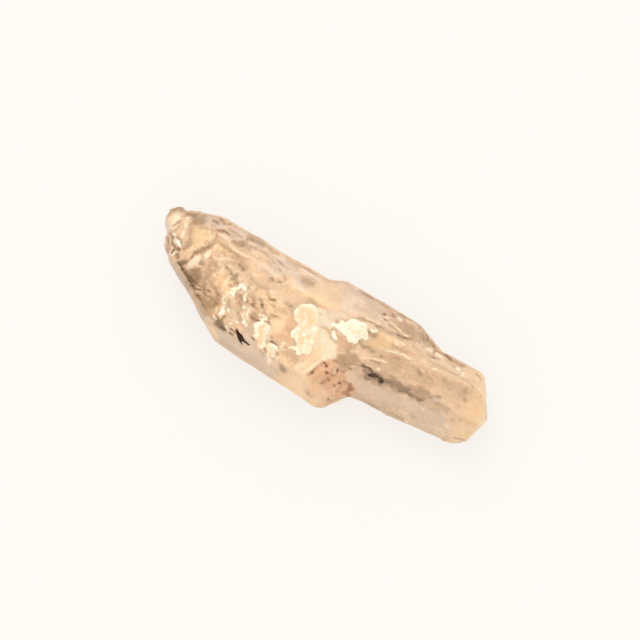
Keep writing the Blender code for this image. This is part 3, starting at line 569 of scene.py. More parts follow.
    Stroke(0.5, 0.25, 0.4, ((9.0, 0.15), (10.2, 0.2), (11.6, 0.05), (12.8, 0.1))),
    Stroke(0.6, 0.25, 0.35, ((13.6, -0.45), (14.3, -0.35), (14.8, 0.0), (15.4, 0.7), (16.2, 0.95))),
    Stroke(0.3, 0.3, 0.4, ((15.0, 0.9), (16.2, 1.0))),
    Stroke(0.3, 0.5, 0.5, ((16.2, 0.1), (17.6, 0.0))),
    Stroke(0.35, 0.2, 0.3, ((12.0, -3.6), (13.8, -3.55))),
)
# places where the skin is crumbled into small grains, and where it is drawn out in streaks
CRUMBLE = (
    Patch(0.35, 1.0, ((-17.4, 3.6), (-12.0, 3.2), (-10.0, 2.2), (-11.6, -3.0), (-14.4, -2.6),
        (-17.0, -1.4))),
    Patch(0.7, 0.8, ((-12.0, 1.6), (-9.4, 1.4), (-4.6, 1.6), (-4.2, -1.8), (-6.4, -2.0), (-7.6, -2.0),
        (-9.0, -1.6), (-11.0, -1.6), (-11.6, -3.8), (-12.0, -3.6), (-11.8, -1.4))),
    Patch(0.4, 0.6, ((-8.9, -2.0), (-7.6, -2.2), (-7.4, -3.2), (-8.2, -3.8), (-10.6, -4.2), (-10.6, -3.2))),
    Patch(0.5, 0.5, ((-21.6, 2.4), (-18.8, 1.8), (-18.2, -0.4), (-20.4, -0.8), (-22.0, 1.2))),
    Patch(0.5, 0.8, ((-4.8, -3.0), (-2.4, -2.8), (0.8, -3.2), (0.8, -4.8), (-2.4, -5.2), (-4.8, -5.0))),
    Patch(0.15, 0.8, ((1.8, -2.0), (6.8, -3.0), (5.4, -5.6), (1.6, -4.8))),
    Patch(0.2, 1.0, ((6.0, 7.0), (11.4, 6.8), (11.0, 4.6), (6.0, 4.8))),
    Patch(0.3, 1.0, ((-9.6, 6.0), (-5.0, 6.2), (-5.0, 3.0), (-9.6, 3.0))),
)
STREAKS = (
    Patch(0.9, 0.8, ((-15.8, 3.8), (-16.4, 6.6), (-6.0, 6.6), (-6.4, 4.6), (-10.0, 3.4))),
    Patch(1.0, 1.0, ((4.8, -0.4), (6.4, 4.6), (12.0, 5.8), (19.2, 5.8), (20.0, 3.2), (17.0, 0.8),
        (12.0, 0.6))),
    Patch(0.6, 1.0, ((-16.4, -1.4), (-11.8, -2.2), (-10.6, -5.0), (-13.0, -5.4), (-18.8, -1.8))),
    Patch(0.35, 1.0, ((6.0, -1.2), (19.6, -1.0), (20.0, -3.8), (6.6, -4.6))),
    Patch(0.5, 1.0, ((1.0, 7.6), (12.0, 7.2), (12.6, 5.2), (3.0, 4.4))),
)
# each kind of mark and how much its edges are softened
PAINTS = {
    "warm": (WARM, 1.6), "tan": (TAN, 1.3), "grey": (GREY, 1.3), "lilac": (LILAC, 1.1),
    "stain_and_gap_shade": (STAIN, 1.2), "rust": (RUST, 1.0), "light": (LIGHT, 1.0), "shade": (SHADE, 1.1),
}


class Crust(NamedTuple):
    """Cream lumps grown on the skin: how large and how pale they are, from 0 to 1, what they fill
    and what they run along, where they are thin and where they sink into the skin."""

    name: str
    lump: float
    paleness: float
    outlines: tuple
    runs: tuple = ()
    thin: tuple = ()
    sunk: tuple = ()


CRUSTS = (
    Crust(
        "crust_broad", 0.38, 0.4,
        outlines=(
            (
                (-2.1, 2.75), (-2.7, 2.55), (-3.2, 2.15), (-3.4, 1.8), (-3.5, 1.4), (-3.4, 0.95),
                (-3.15, 0.5), (-2.85, 0.3), (-2.5, 0.25), (-2.25, -0.05), (-2.4, -0.45), (-2.6, -0.8),
                (-2.6, -1.2), (-2.5, -1.55), (-1.95, -1.6), (-1.6, -1.8), (-1.3, -2.15), (-1.2, -2.6),
                (-0.95, -2.9), (-0.55, -2.95), (-0.4, -2.6), (-0.2, -2.35), (0.2, -2.5), (0.35, -2.15),
                (0.35, -1.65), (0.1, -1.3), (0.2, -0.9), (0.4, -0.1), (0.0, 0.5), (-0.1, 0.8),
                (-0.5, 1.1), (-0.9, 1.7), (-1.0, 2.2), (-1.5, 2.6),
            ),
        ),
        runs=(
            ((-2.1, -2.9), (-1.8, -2.8), (-1.45, -2.5)), ((-2.7, -2.7), (-2.8, -3.1), (-2.8, -3.5)),
        ),
        thin=(
            Patch(0.8, 0.7, ((-2.9, 2.2), (-1.5, 2.6), (-0.8, 2.0), (-0.9, 1.1), (-2.0, 0.9),
                (-2.9, 1.2))),
            Patch(0.6, 0.3, ((-1.8, -0.9), (-1.0, -1.0), (-0.7, -1.6), (-1.1, -1.8), (-1.7, -1.5))),
            Stroke(0.6, 0.25, 0.2, ((-2.4, 0.55), (-1.6, 0.7), (-0.9, 1.0), (-0.4, 1.1))),
            Stroke(0.6, 0.3, 0.25, ((0.1, 0.6), (0.1, 0.0), (0.1, -0.7))),
        ),
        sunk=(
            Stroke(1.0, 0.7, 0.6, ((-1.6, 2.85), (-0.9, 2.4), (-0.6, 1.4), (0.2, 0.6), (0.5, -0.1),
                (0.35, -0.9), (0.3, -1.4))),
        ),
    ),
    Crust(
        "crust_pale", 0.4, 0.8,
        outlines=(
            (
                (2.2, 2.9), (2.5, 3.3), (2.9, 3.8), (3.4, 3.85), (4.0, 4.0), (4.45, 3.9), (4.65, 3.55),
                (4.8, 3.2), (5.2, 2.95), (5.35, 2.65), (5.2, 2.4), (4.8, 2.4), (4.5, 2.2), (4.4, 1.9),
                (4.55, 1.55), (4.2, 1.4), (3.8, 1.3), (3.5, 1.4), (3.2, 1.7), (2.7, 1.7), (2.3, 1.9),
                (1.9, 2.0), (1.5, 2.2), (1.8, 2.6),
            ),
        ),
        runs=(
            ((1.9, 2.1), (1.5, 2.0), (1.05, 2.1), (0.95, 2.35)),
            ((1.45, 1.3), (1.75, 1.15), (2.0, 0.8), (2.25, 0.7)), ((1.5, 1.1), (1.8, 0.9), (2.1, 0.65)),
            ((1.0, 1.95), (1.2, 1.7)), ((1.7, 2.9), (1.9, 2.6)), ((5.2, 3.6), (5.6, 3.8), (5.9, 4.1)),
        ),
        sunk=(
            Stroke(1.0, 0.5, 0.6, ((1.6, 2.7), (2.2, 3.2), (2.8, 3.9))),
        ),
    ),
    Crust(
        "crust_left", 0.34, 0.4,
        outlines=(
            (
                (-6.8, -2.35), (-6.5, -2.1), (-6.05, -1.8), (-5.65, -1.7), (-5.25, -1.95), (-4.95, -2.2),
                (-5.1, -2.65), (-5.1, -3.1), (-4.8, -3.5), (-4.55, -3.9), (-4.55, -4.35), (-4.8, -4.5),
                (-5.25, -4.6), (-5.4, -4.35), (-5.1, -4.0), (-5.7, -3.95), (-6.1, -3.75), (-6.25, -3.3),
                (-6.6, -2.9), (-6.85, -2.6),
            ),
            (
                (-4.35, -3.75), (-4.1, -3.5), (-3.6, -3.45), (-3.2, -3.6), (-3.05, -3.9), (-3.1, -4.4),
                (-2.95, -4.95), (-3.05, -5.5), (-3.4, -5.6), (-3.7, -5.35), (-3.8, -4.8), (-4.0, -4.35),
                (-4.35, -4.05),
            ),
        ),
        runs=(
            ((-6.85, -1.4), (-6.6, -1.1), (-6.2, -1.0), (-5.95, -1.3)),
            ((-6.6, -1.75), (-6.2, -1.65), (-5.9, -1.4)),
        ),
        thin=(
            Patch(0.8, 0.3, ((-5.9, -3.8), (-5.2, -3.75), (-4.9, -4.2), (-5.2, -4.5), (-5.4, -4.2))),
            Stroke(0.6, 0.3, 0.3, ((-5.9, -2.1), (-5.6, -2.8), (-5.5, -3.3))),
            Stroke(0.6, 0.3, 0.3, ((-3.7, -3.9), (-3.5, -4.7), (-3.3, -5.2))),
        ),
        sunk=(
            Stroke(1.0, 0.6, 0.5, ((-5.1, -1.9), (-4.95, -2.6), (-4.95, -3.3), (-4.7, -3.6))),
        ),
    ),
    Crust(
        "crust_arc", 0.28, 0.5,
        outlines=(),
        runs=(
            ((-10.2, 0.8), (-10.3, 0.45), (-10.6, 0.3)), ((-10.5, 0.65), (-10.4, 0.2), (-10.75, 0.0)),
            ((-10.9, 0.05), (-11.05, -0.3), (-11.05, -0.75)),
            ((-10.7, -0.2), (-10.8, -0.6), (-10.6, -1.05)), ((-9.85, 1.0), (-9.95, 0.6), (-10.0, 0.3)),
            ((-9.35, 0.45), (-9.6, 0.35), (-9.9, 0.0)), ((-9.35, -0.1), (-9.3, -0.4), (-9.2, -0.75)),
            ((-11.3, -1.3), (-11.35, -1.85)), ((-11.0, -1.9), (-11.0, -2.3), (-11.15, -2.7)),
            ((-11.1, -2.8), (-10.8, -3.1), (-10.7, -3.7)), ((-11.0, -3.3), (-10.75, -3.5)),
            ((-10.7, -2.9), (-10.5, -3.1)), ((-10.4, -2.55), (-10.2, -2.75)),
            ((-9.1, -1.45), (-8.85, -1.35)), ((-8.35, -1.2), (-8.25, -1.6), (-8.1, -2.1)),
            ((-8.65, -2.15), (-8.5, -2.45)), ((-8.3, -2.5), (-8.0, -2.8), (-7.6, -3.15)),
            ((-8.85, -2.95), (-8.75, -3.15)), ((-11.4, -4.0), (-11.05, -4.25)),
            ((-9.7, -4.2), (-9.5, -4.5)), ((-9.3, -4.5), (-9.15, -4.85)), ((-9.35, -3.7), (-9.25, -4.0)),
            ((-10.85, 1.25), (-10.75, 1.2)), ((-11.0, -5.2), (-10.8, -5.4)),
        ),
    ),
    Crust(
        "crust_tip", 0.2, 0.7,
        outlines=(),
        runs=(
            ((-20.0, 1.6), (-19.6, 1.5), (-19.2, 1.25), (-18.8, 0.85)),
            ((-19.9, 1.4), (-19.5, 1.2), (-19.1, 1.0)), ((-20.5, 1.85), (-20.2, 1.85), (-20.05, 2.0)),
            ((-19.6, 0.4), (-19.55, 0.0), (-19.6, -0.35)), ((-19.1, 0.3), (-19.15, -0.2), (-19.3, -0.5)),
            ((-20.2, 0.9), (-20.05, 0.5)), ((-21.1, 2.1), (-20.95, 1.8)),
        ),
    ),
)
# a black splinter that breaks the surface
SPLINTER = (
    Patch(1.0, 0.12, ((-8.5, -4.0), (-7.95, -4.2), (-7.55, -4.25), (-7.3, -4.45), (-6.85, -4.7),
        (-6.1, -4.9), (-6.2, -5.0), (-6.95, -4.93), (-7.25, -4.95), (-6.9, -5.32), (-7.35, -5.2),
        (-7.7, -4.97), (-8.05, -4.62), (-8.3, -4.3))),
)
# small iron-red specks in the stain
SPECKS = (
    Stroke(1.0, 0.13, 0.1, ((2.4, -2.3), (2.45, -2.4))),
    Stroke(1.0, 0.16, 0.1, ((2.75, -2.5), (2.88, -2.6))),
    *strokes(1.0, 0.15, 0.1, ((3.28, -3.2), (3.36, -3.22)), ((1.7, -4.05), (1.8, -3.95)),
        ((5.15, -3.6), (5.3, -3.52))),
    *strokes(1.0, 0.14, 0.1, ((4.15, -2.25), (4.22, -2.5)), ((5.03, -5.82), (5.05, -5.9))),
    *strokes(1.0, 0.12, 0.1, ((3.85, -3.82), (3.95, -3.88)), ((4.65, -4.12), (4.8, -4.08)),
        ((3.4, -4.62), (3.45, -4.5))),
)
# dark flakes sealed under the skin as painted shade where the stone is shaded inside, and pale healed
# fractures sealed under the skin
FLAKES = (
    Patch(1.0, 0.3, ((7.4, -0.95), (7.8, -0.6), (8.3, -0.45), (8.8, -0.55), (8.7, -0.8), (8.2, -1.0),
        (7.7, -1.1))),
    Patch(1.0, 0.3, ((8.95, -0.75), (9.1, -0.5), (9.5, -0.55), (9.6, -0.9), (9.3, -1.1), (9.0, -1.05))),
    Stroke(1.0, 0.35, 0.2, ((-10.3, -4.75), (-9.8, -4.85), (-9.4, -4.8))),
)
VEILS = (
    Patch(1.0, 0.4, ((-0.6, 2.9), (0.6, 3.5), (1.4, 3.9), (2.0, 3.9), (1.5, 2.9), (1.0, 2.2))),
    Patch(1.0, 0.4, ((-9.0, 5.4), (-7.2, 5.2), (-7.0, 4.2), (-7.8, 3.6), (-8.6, 4.2))),
    Stroke(1.0, 0.65, 0.3, ((-6.4, 4.9), (-5.4, 4.95), (-4.9, 4.2), (-3.5, 3.9))),
)
# how far each kind of mark stands out of the skin, in millimetres
RELIEF = {"light": 0.05, "shade": -0.03, "lilac": 0.03, "tan": -0.02, "stain_and_gap_shade": -0.03, "rust": -0.03}
# the faint halo round the flaws and the painted shade
HALO_SOFTNESS = 3.5
HALO_STRENGTH = 0.35
# how many steps a crest is measured over, and the height of a full one, in millimetres
CREST_REACH = 8
CREST_HEIGHT = 0.06
# how the nub of the tip is rounded off: middle in plan, shift and reach, in millimetres
ROUNDED = (
    ((-21.15, 4.85), (0.0, 0.5), 0.7),
    ((-22.25, 4.15), (0.42, 0.0), 0.7),
    ((-20.1, 5.4), (0.0, -0.35), 0.7),
    ((-21.4, 2.6), (-0.32, -0.05), 1.3),
)


def as_drawn(plan):
    """Where a place in the stone's plan is in the drawing of the marks."""
    return np.asarray(plan) * DRAWN_SCALE + DRAWN_SHIFT


def as_built(plan):
    """Where a place in the drawing of the marks is in the stone's plan."""
    return (np.asarray(plan) - DRAWN_SHIFT) / DRAWN_SCALE


def smoothstep(low, high, value):
    t = np.clip((value - low) / (high - low), 0.0, 1.0)
    return t * t * (3.0 - 2.0 * t)


def distance_to_path(places, path):
    """How far each place is from a chain of points in plan."""
    nearest = np.full(len(places), np.inf)
    for start, end in zip(path[:-1], path[1:], strict=True):
        a = np.array(start)
        way = np.array(end) - a
        along = np.clip(((places - a) @ way) / max(way @ way, 1e-12), 0.0, 1.0)
        nearest = np.minimum(nearest, np.linalg.norm(places - a - along[:, None] * way, axis=1))
    return nearest


def depth_inside(places, corners):
    """How far each place is inside a polygon, negative outside it."""
    away = distance_to_path(places, (*corners, corners[0]))
    inside = np.zeros(len(places), bool)
    x, y = places[:, 0], places[:, 1]
    for (ax, ay), (bx, by) in zip(corners, (*corners[1:], corners[0]), strict=True):
        if ay == by:
            continue
        crosses = (y < ay) != (y < by)
        inside ^= crosses & (x < ax + (y - ay) * (bx - ax) / (by - ay))
    return np.where(inside, away, -away)


def coverage(places, marks, softness=1.0, mottle=None):
    """How strongly a set of marks shows at each place in plan, from 0 to 1: softness widens
    their fading edges and mottling frays them."""
    shown = np.zeros(len(places))
    for mark in marks:
        stroke = isinstance(mark, Stroke)
        outline = mark.path if stroke else mark.corners
        fade = mark.fade * softness
        margin = 2 * fade + (mark.width if stroke else 0.0)
        low = np.min(outline, axis=0) - margin
        high = np.max(outline, axis=0) + margin
        near = np.flatnonzero(((places > low) & (places < high)).all(axis=1))
        if stroke:
            depth = mark.width / 2 - distance_to_path(places[near], outline)
        else:
            depth = depth_inside(places[near], outline)
        if mottle is not None:
            depth = depth + mottle[near] * fade * 0.4
        shown[near] = np.maximum(shown[near], mark.strength * smoothstep(-fade / 2, fade / 2, depth))
    return shown


# ---------------------------------------------------------------- settings


def length(label, what, value, **limits):
    """A setting that holds a length, with its value in millimetres."""
    return FloatProperty(
        name=label, description=what, default=value * MM, unit="LENGTH", precision=5, **limits
    )


def colour(label, what, value):
    """A setting that holds a colour."""
    return FloatVectorProperty(
        name=label, description=what, subtype="COLOR", size=3, min=0.0, max=1.0, default=value
    )


class MORGANITE_PG_skin(bpy.types.PropertyGroup):
    """Sizes of the crystal's skin"""

    grain: length("Grain", "Edge of the small faces that the skin is made of", 0.14, min=0.1 * MM)
    rounding: IntProperty(
        name="Rounding", description="Smoothing passes over the skin before its relief", default=10, min=0,
    )
    furrow_depth: length("Furrow depth", "Depth of the growth furrows along the crystal axis", 0.05)
    chip_depth: length("Chip depth", "Depth of the broken, crumpled places", 0.22)
    crumb_height: length("Crumb height", "Height of the grains in crumbled places", 0.13)


class MORGANITE_PG_crusts(bpy.types.PropertyGroup):
    """Sizes of the cream crusts"""

    grain: length("Grain", "Edge of the small faces that the crusts are made of", 0.07, min=0.04 * MM)
    sinking: FloatProperty(
        name="Sinking", description="How far a lump's middle lies under the skin, as a share of its radius",
        default=0.15, min=0.0, max=1.0,
    )
    flatness: FloatProperty(
        name="Flatness", description="Height of a lump as a share of its width",
        default=0.5, min=0.2, max=1.0,
    )
    crumbs: length("Crumbs", "Height of the small crumbs on the lumps", 0.05)
    rounding: IntProperty(
        name="Rounding", description="Smoothing passes over the lumps", default=5, min=0,
    )


class MORGANITE_PG_colours(bpy.types.PropertyGroup):
    """Colours of the beryl and of what is on and in it"""

    peach: colour("Peach", "Body colour of the stone", (0.82, 0.605, 0.41))
    warm: colour("Warm peach", "Clear, glowing places", (0.95, 0.68, 0.42))
    # tan also gives painted shade: in the hollows of the relief, in the gaps of crumbs and under ledges
    tan: colour("Tan", "Flawed places", (0.45, 0.30, 0.18))
    grey: colour("Grey beige", "Smooth prism faces", (0.695, 0.545, 0.415))
    lilac: colour("Lilac grey", "Etched, glazed bands", (0.84, 0.70, 0.585))
    # the stain colour is also painted shade in the gaps between crumbled grains
    stain_and_gap_shade: colour("Iron stain", "Fracture face stained by iron", (0.76, 0.42, 0.24))
    rust: colour("Rust", "Specks of iron oxide", (0.17, 0.045, 0.025))
    maroon: colour("Maroon", "Cores of the rust specks", (0.21, 0.055, 0.036))
    # pale peach is painted highlight on the crests of the relief, partly worn edges, and on the softer
    # highlights
    glow: colour("Pale peach", "Worn edges and the rims of bright spots", (1.0, 0.79, 0.54))
    # cream is the brightest painted highlights and glints, and shattered spots
    cream: colour("Cream", "Shattered spots that catch the light", (1.0, 0.88, 0.69))
    # crust and crust hollow also paint light and shade: highlight on tops and rims, shade in low places
    crust: colour("Crust", "Rims and tops of the crusts", (0.84, 0.71, 0.56))
    crevice: colour("Crust hollow", "Thin and low places of the crusts", (0.76, 0.49, 0.29))
    # brown, olive and black colour both the flaws and the painted shade
    brown: colour("Brown", "Light brown flaws", (0.27, 0.14, 0.07))
    olive: colour("Olive", "Dark brown flaws", (0.08, 0.028, 0.006))
    black: colour("Black", "Darkest flaws", (0.018, 0.005, 0.001))
    smoke: colour("Smoky brown", "Dark inclusions", (0.02, 0.006, 0.004))


class MORGANITE_PG_stage(bpy.types.PropertyGroup):
    """Floor, lights and camera"""

    frame_width: length("Frame width", "Width of floor that the camera sees", 74.4)
    camera_height: length("Camera height", "Height of the camera above the floor", 420.0)
    camera_turn: FloatProperty(
        name="Camera turn", description="How far the camera is rolled about its line of sight",
        default=math.radians(30), subtype="ANGLE", unit="ROTATION",
    )
    floor_colour: colour("Floor colour", "Colour of the plain floor", (0.15, 0.147, 0.144))
    floor_glow: colour("Floor glow", "Colour that the floor glows in", (1.0, 0.955, 0.91))
    floor_light: FloatProperty(
        name="Floor light", description="How strongly the floor glows, like a light table",
        default=0.773, min=0.0,
    )
    backdrop: colour("Backdrop", "Colour of the room behind the floor", (1.0, 0.977, 0.932))
    room_light: colour("Room light", "Colour of the even light all round", (1.0, 0.98, 0.955))
    ambient: FloatProperty(
        name="Ambient light", description="Strength of the even light all round", default=1.3, min=0.0,
    )
    key_power: FloatProperty(
        name="Key power", description="Power of the large soft light", default=0.9, min=0.0, unit="POWER",
    )


class MORGANITE_PG_crystal(bpy.types.PropertyGroup):
    """All settings of the crystal"""

    skin: PointerProperty(type=MORGANITE_PG_skin)
    crusts: PointerProperty(type=MORGANITE_PG_crusts)
    colours: PointerProperty(type=MORGANITE_PG_colours)
    stage: PointerProperty(type=MORGANITE_PG_stage)


def settings():
    return bpy.context.scene.morganite


# ---------------------------------------------------------------- helpers


def select_only(piece):
    """Selects one object and makes it active."""
    for other in bpy.context.view_layer.objects:
        other.select_set(False)
    piece.select_set(True)
    bpy.context.view_layer.objects.active = piece


def apply_modifier(piece, kind, **values):
    """Adds a modifier with these values and applies it."""
    modifier = piece.modifiers.new(kind.title(), kind)
    for name, value in values.items():
        setattr(modifier, name, value)
    select_only(piece)
    bpy.ops.object.modifier_apply(modifier=modifier.name)


def copy_of_node(name):
    """A new piece with the CAD node's mesh, its loose triangles merged."""
    piece = bpy.data.objects.new(name, frame["nodes"][NODE].data.copy())
    piece.data.name = name
    bpy.context.scene.collection.objects.link(piece)
    piece.data.materials.clear()
    select_only(piece)
    bpy.ops.object.mode_set(mode="EDIT")
    bpy.ops.mesh.select_all(action="SELECT")
    bpy.ops.mesh.remove_doubles(threshold=1e-6)
    bpy.ops.object.mode_set(mode="OBJECT")
    return piece


def read_points(mesh):
    """Places and normals of a mesh's points, the places in millimetres."""
    count = len(mesh.vertices)
    places = np.empty(count * 3)
    mesh.vertices.foreach_get("co", places)
    normals = np.empty(count * 3, np.float32)
    mesh.vertex_normals.foreach_get("vector", normals)
    return places.reshape(-1, 3) / MM, normals.reshape(-1, 3).astype(float)


def write_points(mesh, places):
    mesh.vertices.foreach_set("co", (places * MM).ravel())
    mesh.update()


def write_value(mesh, name, values):
    attribute = mesh.attributes.new(name, "FLOAT", "POINT")
    attribute.data.foreach_set("value", values.astype(np.float32))


def noise_field(places, size, octaves=1, stretch=(1.0, 1.0, 1.0), shift=0.0):
    """Smooth noise at each place, about -1 to 1: size is its grain in millimetres."""
    scaled = places / (size * np.array(stretch)) + shift
    if octaves == 1:
        return np.array([noise.noise(p) for p in scaled])
    return np.array([noise.fractal(p, NOISE_FALL, NOISE_STEP, octaves) for p in scaled])


def crests(mesh, places, normals, reach):
    """How far each place stands out of the surface round it, smoothed over this many steps."""
    ends = np.empty(len(mesh.edges) * 2, np.int32)
    mesh.edges.foreach_get("vertices", ends)
    near, far = ends.reshape(-1, 2).T
    count = len(places)
    shares = (np.bincount(near, minlength=count) + np.bincount(far, minlength=count))[:, None]
    smooth = places
    for _ in range(reach):
        sums = [
            np.bincount(near, smooth[far, axis], count) + np.bincount(far, smooth[near, axis], count)
            for axis in range(3)
        ]
        smooth = np.column_stack(sums) / shares
    return ((places - smooth) * normals).sum(axis=1)


def drift(places, size, reach):
    """Moves places about smoothly, so that what is laid out on them gets natural edges."""
    # without a seed, every run would have its own vector noise
    noise.seed_set(SEED)
    ways = np.array([noise.noise_vector(p) for p in places / size])
    return places + ways * reach


def cells(places, size, shift=0.0):
    """Splits space into irregular cells: how far each place is from the next cell, and its
    height on its cell's own tilted plane."""
    rims = np.empty(len(places))
    tilts = np.empty(len(places))
    for index, place in enumerate(places / size + shift):
        distances, seeds = noise.voronoi(place)
        turn = noise.cell_vector(seeds[0] * 7.31)
        rims[index] = distances[1] - distances[0]
        tilts[index] = (Vector(place) - seeds[0]).dot(turn) + turn.y * 0.4
    return rims, tilts


def skin_tree():
    """The finished skin, to look up where its surface is."""
    skin = bpy.data.objects["crystal_skin"]
    return bvhtree.BVHTree.FromObject(skin, bpy.context.evaluated_depsgraph_get())


def surface_at(tree, x, y):
    """The top of the skin at a place in plan and its normal there, in millimetres."""
    place, normal, _, _ = tree.ray_cast(Vector((x, y, ABOVE)) * MM, Vector((0.0, 0.0, -1.0)))
    return place / MM, normal


def along(path, step):
    """Places along a chain of points in plan, about a step apart."""
    for start, end in zip(path[:-1], path[1:], strict=True):
        count = max(1, round(math.dist(start, end) / step))
        for index in range(count):
            share = (index + 0.5) / count
            yield start[0] + (end[0] - start[0]) * share, start[1] + (end[1] - start[1]) * share


def lump_centres(crust, seeds):
    """Places and radii of a crust's lumps, in plan: they fill its outlines, line their rims and
    follow its runs."""
    lumps = []
    step = crust.lump * LUMP_SPACING
    for corners in crust.outlines:
        low = np.min(corners, axis=0)
        high = np.max(corners, axis=0)
        for x in np.arange(low[0], high[0], step):
            for y in np.arange(low[1], high[1], step):
                x_moved = x + seeds.uniform(-LUMP_SCATTER, LUMP_SCATTER) * step
                y_moved = y + seeds.uniform(-LUMP_SCATTER, LUMP_SCATTER) * step
                depth = depth_inside(np.array([[x_moved, y_moved]]), corners)[0]
                if depth > LUMP_DEPTH:
                    radius = min(crust.lump * seeds.uniform(*LUMP_SIZES), depth + LUMP_OVERHANG)
                    lumps.append((x_moved, y_moved, radius))
        for x, y in along((*corners, corners[0]), RIM_STEP):
            lumps.append((x, y, seeds.uniform(*RIM_RADII)))
    for run in crust.runs:
        for x, y in along(run, RUN_STEP):
            x_moved = x + seeds.gauss(0.0, RUN_SCATTER)
            y_moved = y + seeds.gauss(0.0, RUN_SCATTER)
            lumps.append((x_moved, y_moved, min(crust.lump, RUN_RADIUS) * seeds.uniform(*RUN_SIZES)))
    return lumps


def film(name, marks, grain, height, depth=0.0):
    """A thin closed film that lies at a depth under the skin where the marks are, fine grained
    and swelling by up to its height, in millimetres."""
    outlines = np.concatenate([mark.path if isinstance(mark, Stroke) else mark.corners for mark in marks])
    margin = max(mark.fade for mark in marks) + FILM_MARGIN
    low = outlines.min(axis=0) - margin
    high = outlines.max(axis=0) + margin
    middle = (low + high) / 2
    columns, rows = np.ceil((high - low) / grain).astype(int)
    bpy.ops.object.select_all(action="DESELECT")
    bpy.ops.mesh.primitive_grid_add(x_subdivisions=columns, y_subdivisions=rows, size=2.0)
    piece = context_piece(name)
    places, _ = read_points(piece.data)
    plan = places[:, :2] * MM * (high - low) / 2 + middle
    flat = np.column_stack([plan, np.zeros(len(plan))])
    shown = coverage(drift(flat, 0.3, 0.05)[:, :2], marks)
    tree = skin_tree()
    raised = np.zeros((len(plan), 3))
    for index in np.flatnonzero(shown > 0.0):
        raised[index], _ = surface_at(tree, *as_built(plan[index]))
    raised[:, 2] += height * (smoothstep(0.0, 1.0, shown) - FILM_EDGE) - depth
    write_points(piece.data, raised)
    cleared = bmesh.new()
    cleared.from_mesh(piece.data)
    cleared.verts.ensure_lookup_table()
    spare = [cleared.verts[index] for index in np.flatnonzero(shown < FILM_EDGE)]
    while spare:
        bmesh.ops.delete(cleared, geom=spare, context="VERTS")
        spare = [vert for vert in cleared.verts if sum(edge.is_boundary for edge in vert.link_edges) != 2
                 and (vert.is_boundary or not vert.link_faces)]
    cleared.to_mesh(piece.data)
    cleared.free()
    apply_modifier(piece, "SOLIDIFY", thickness=FILM_THICKNESS, offset=-1.0)
    return piece


def context_piece(name):
    """The object just added, with this name."""
    piece = bpy.context.object
    piece.name = piece.data.name = name
    return piece


def finish(piece, slot, *materials):
    """Gives a finished piece its smooth shading, its materials and its body; the slot it is given is not
    used.
    """
    select_only(piece)
    bpy.ops.object.shade_smooth()
    piece.data.materials.clear()
    for material in materials:
        piece.data.materials.append(material)
    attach(piece, BODY)


# ---------------------------------------------------------------- materials


def new_material(name):
    """A material with a Principled shader, its tree, and that shader."""
    material = bpy.data.materials.new(name)
    material.use_nodes = True
    tree = material.node_tree
    return material, tree, tree.nodes["Principled BSDF"]


def put(tree, value, socket):
    """Links an output to a socket, or sets the socket to a number or a colour."""
    if isinstance(value, bpy.types.NodeSocket):
        tree.links.new(value, socket)
    elif socket.type == "RGBA":
        socket.default_value = (*value, 1.0)
    else:
        socket.default_value = value


def feed(tree, node, values):
    """Links or sets several of a node's inputs."""
    for name, value in values.items():
        put(tree, value, node.inputs[name])


def add_node(tree, kind, values=None, **properties):
    """A node of this kind with its properties and inputs set."""
    node = tree.nodes.new("ShaderNode" + kind)
    for name, value in properties.items():
        setattr(node, name, value)
    feed(tree, node, values or {})
    return node


def mixed(tree, factor, under, over):
    """The colour under with the colour over laid on it by factor."""
    node = add_node(tree, "Mix", data_type="RGBA")
    put(tree, factor, node.inputs[0])
    put(tree, under, node.inputs[6])
    put(tree, over, node.inputs[7])
    return node.outputs[2]


def worked(tree, operation, *values, clamp=False):
    """The result of a Math node on these values."""
    node = add_node(tree, "Math", operation=operation, use_clamp=clamp)
    for value, socket in zip(values, node.inputs):
        put(tree, value, socket)
    return node.outputs[0]


def scaled(tree, value, factor, offset, clamp=False):
    """A value times a factor plus an offset."""
    return worked(tree, "MULTIPLY_ADD", value, factor, offset, clamp=clamp)


def grained(tree, scale, detail=3.0, roughness=0.6, stretch=(1.0, 1.0, 1.0)):
    """Noise from 0 to 1 on the object's own coordinates: scale is grains per millimetre."""
    place = add_node(tree, "TexCoord").outputs["Object"]
    mapping = add_node(tree, "Mapping", {"Vector": place, "Scale": [scale / MM / s for s in stretch]})
    values = {"Vector": mapping.outputs[0], "Scale": 1.0, "Detail": detail, "Roughness": roughness}
    return add_node(tree, "TexNoise", values).outputs["Fac"]


def bumped(tree, height, strength, distance):
    """The surface's normal with fine bumps: their distance is in millimetres."""
    values = {"Height": height, "Strength": strength, "Distance": distance * MM}
    return add_node(tree, "Bump", values).outputs[0]


def stored(tree, name):
    """A value that is stored on the piece's points."""
    return add_node(tree, "Attribute", attribute_name=name).outputs["Fac"]


def painted(tree, name, mottle, spread=4.0):
    """A painted mask whose half-way stretches are broken up by the mottling."""
    mask = stored(tree, name)
    band = worked(tree, "MULTIPLY", mask, worked(tree, "SUBTRACT", 1.0, mask))
    shift = worked(tree, "MULTIPLY", band, worked(tree, "SUBTRACT", mottle, 0.5))
    return worked(tree, "MULTIPLY_ADD", shift, spread, mask, clamp=True)


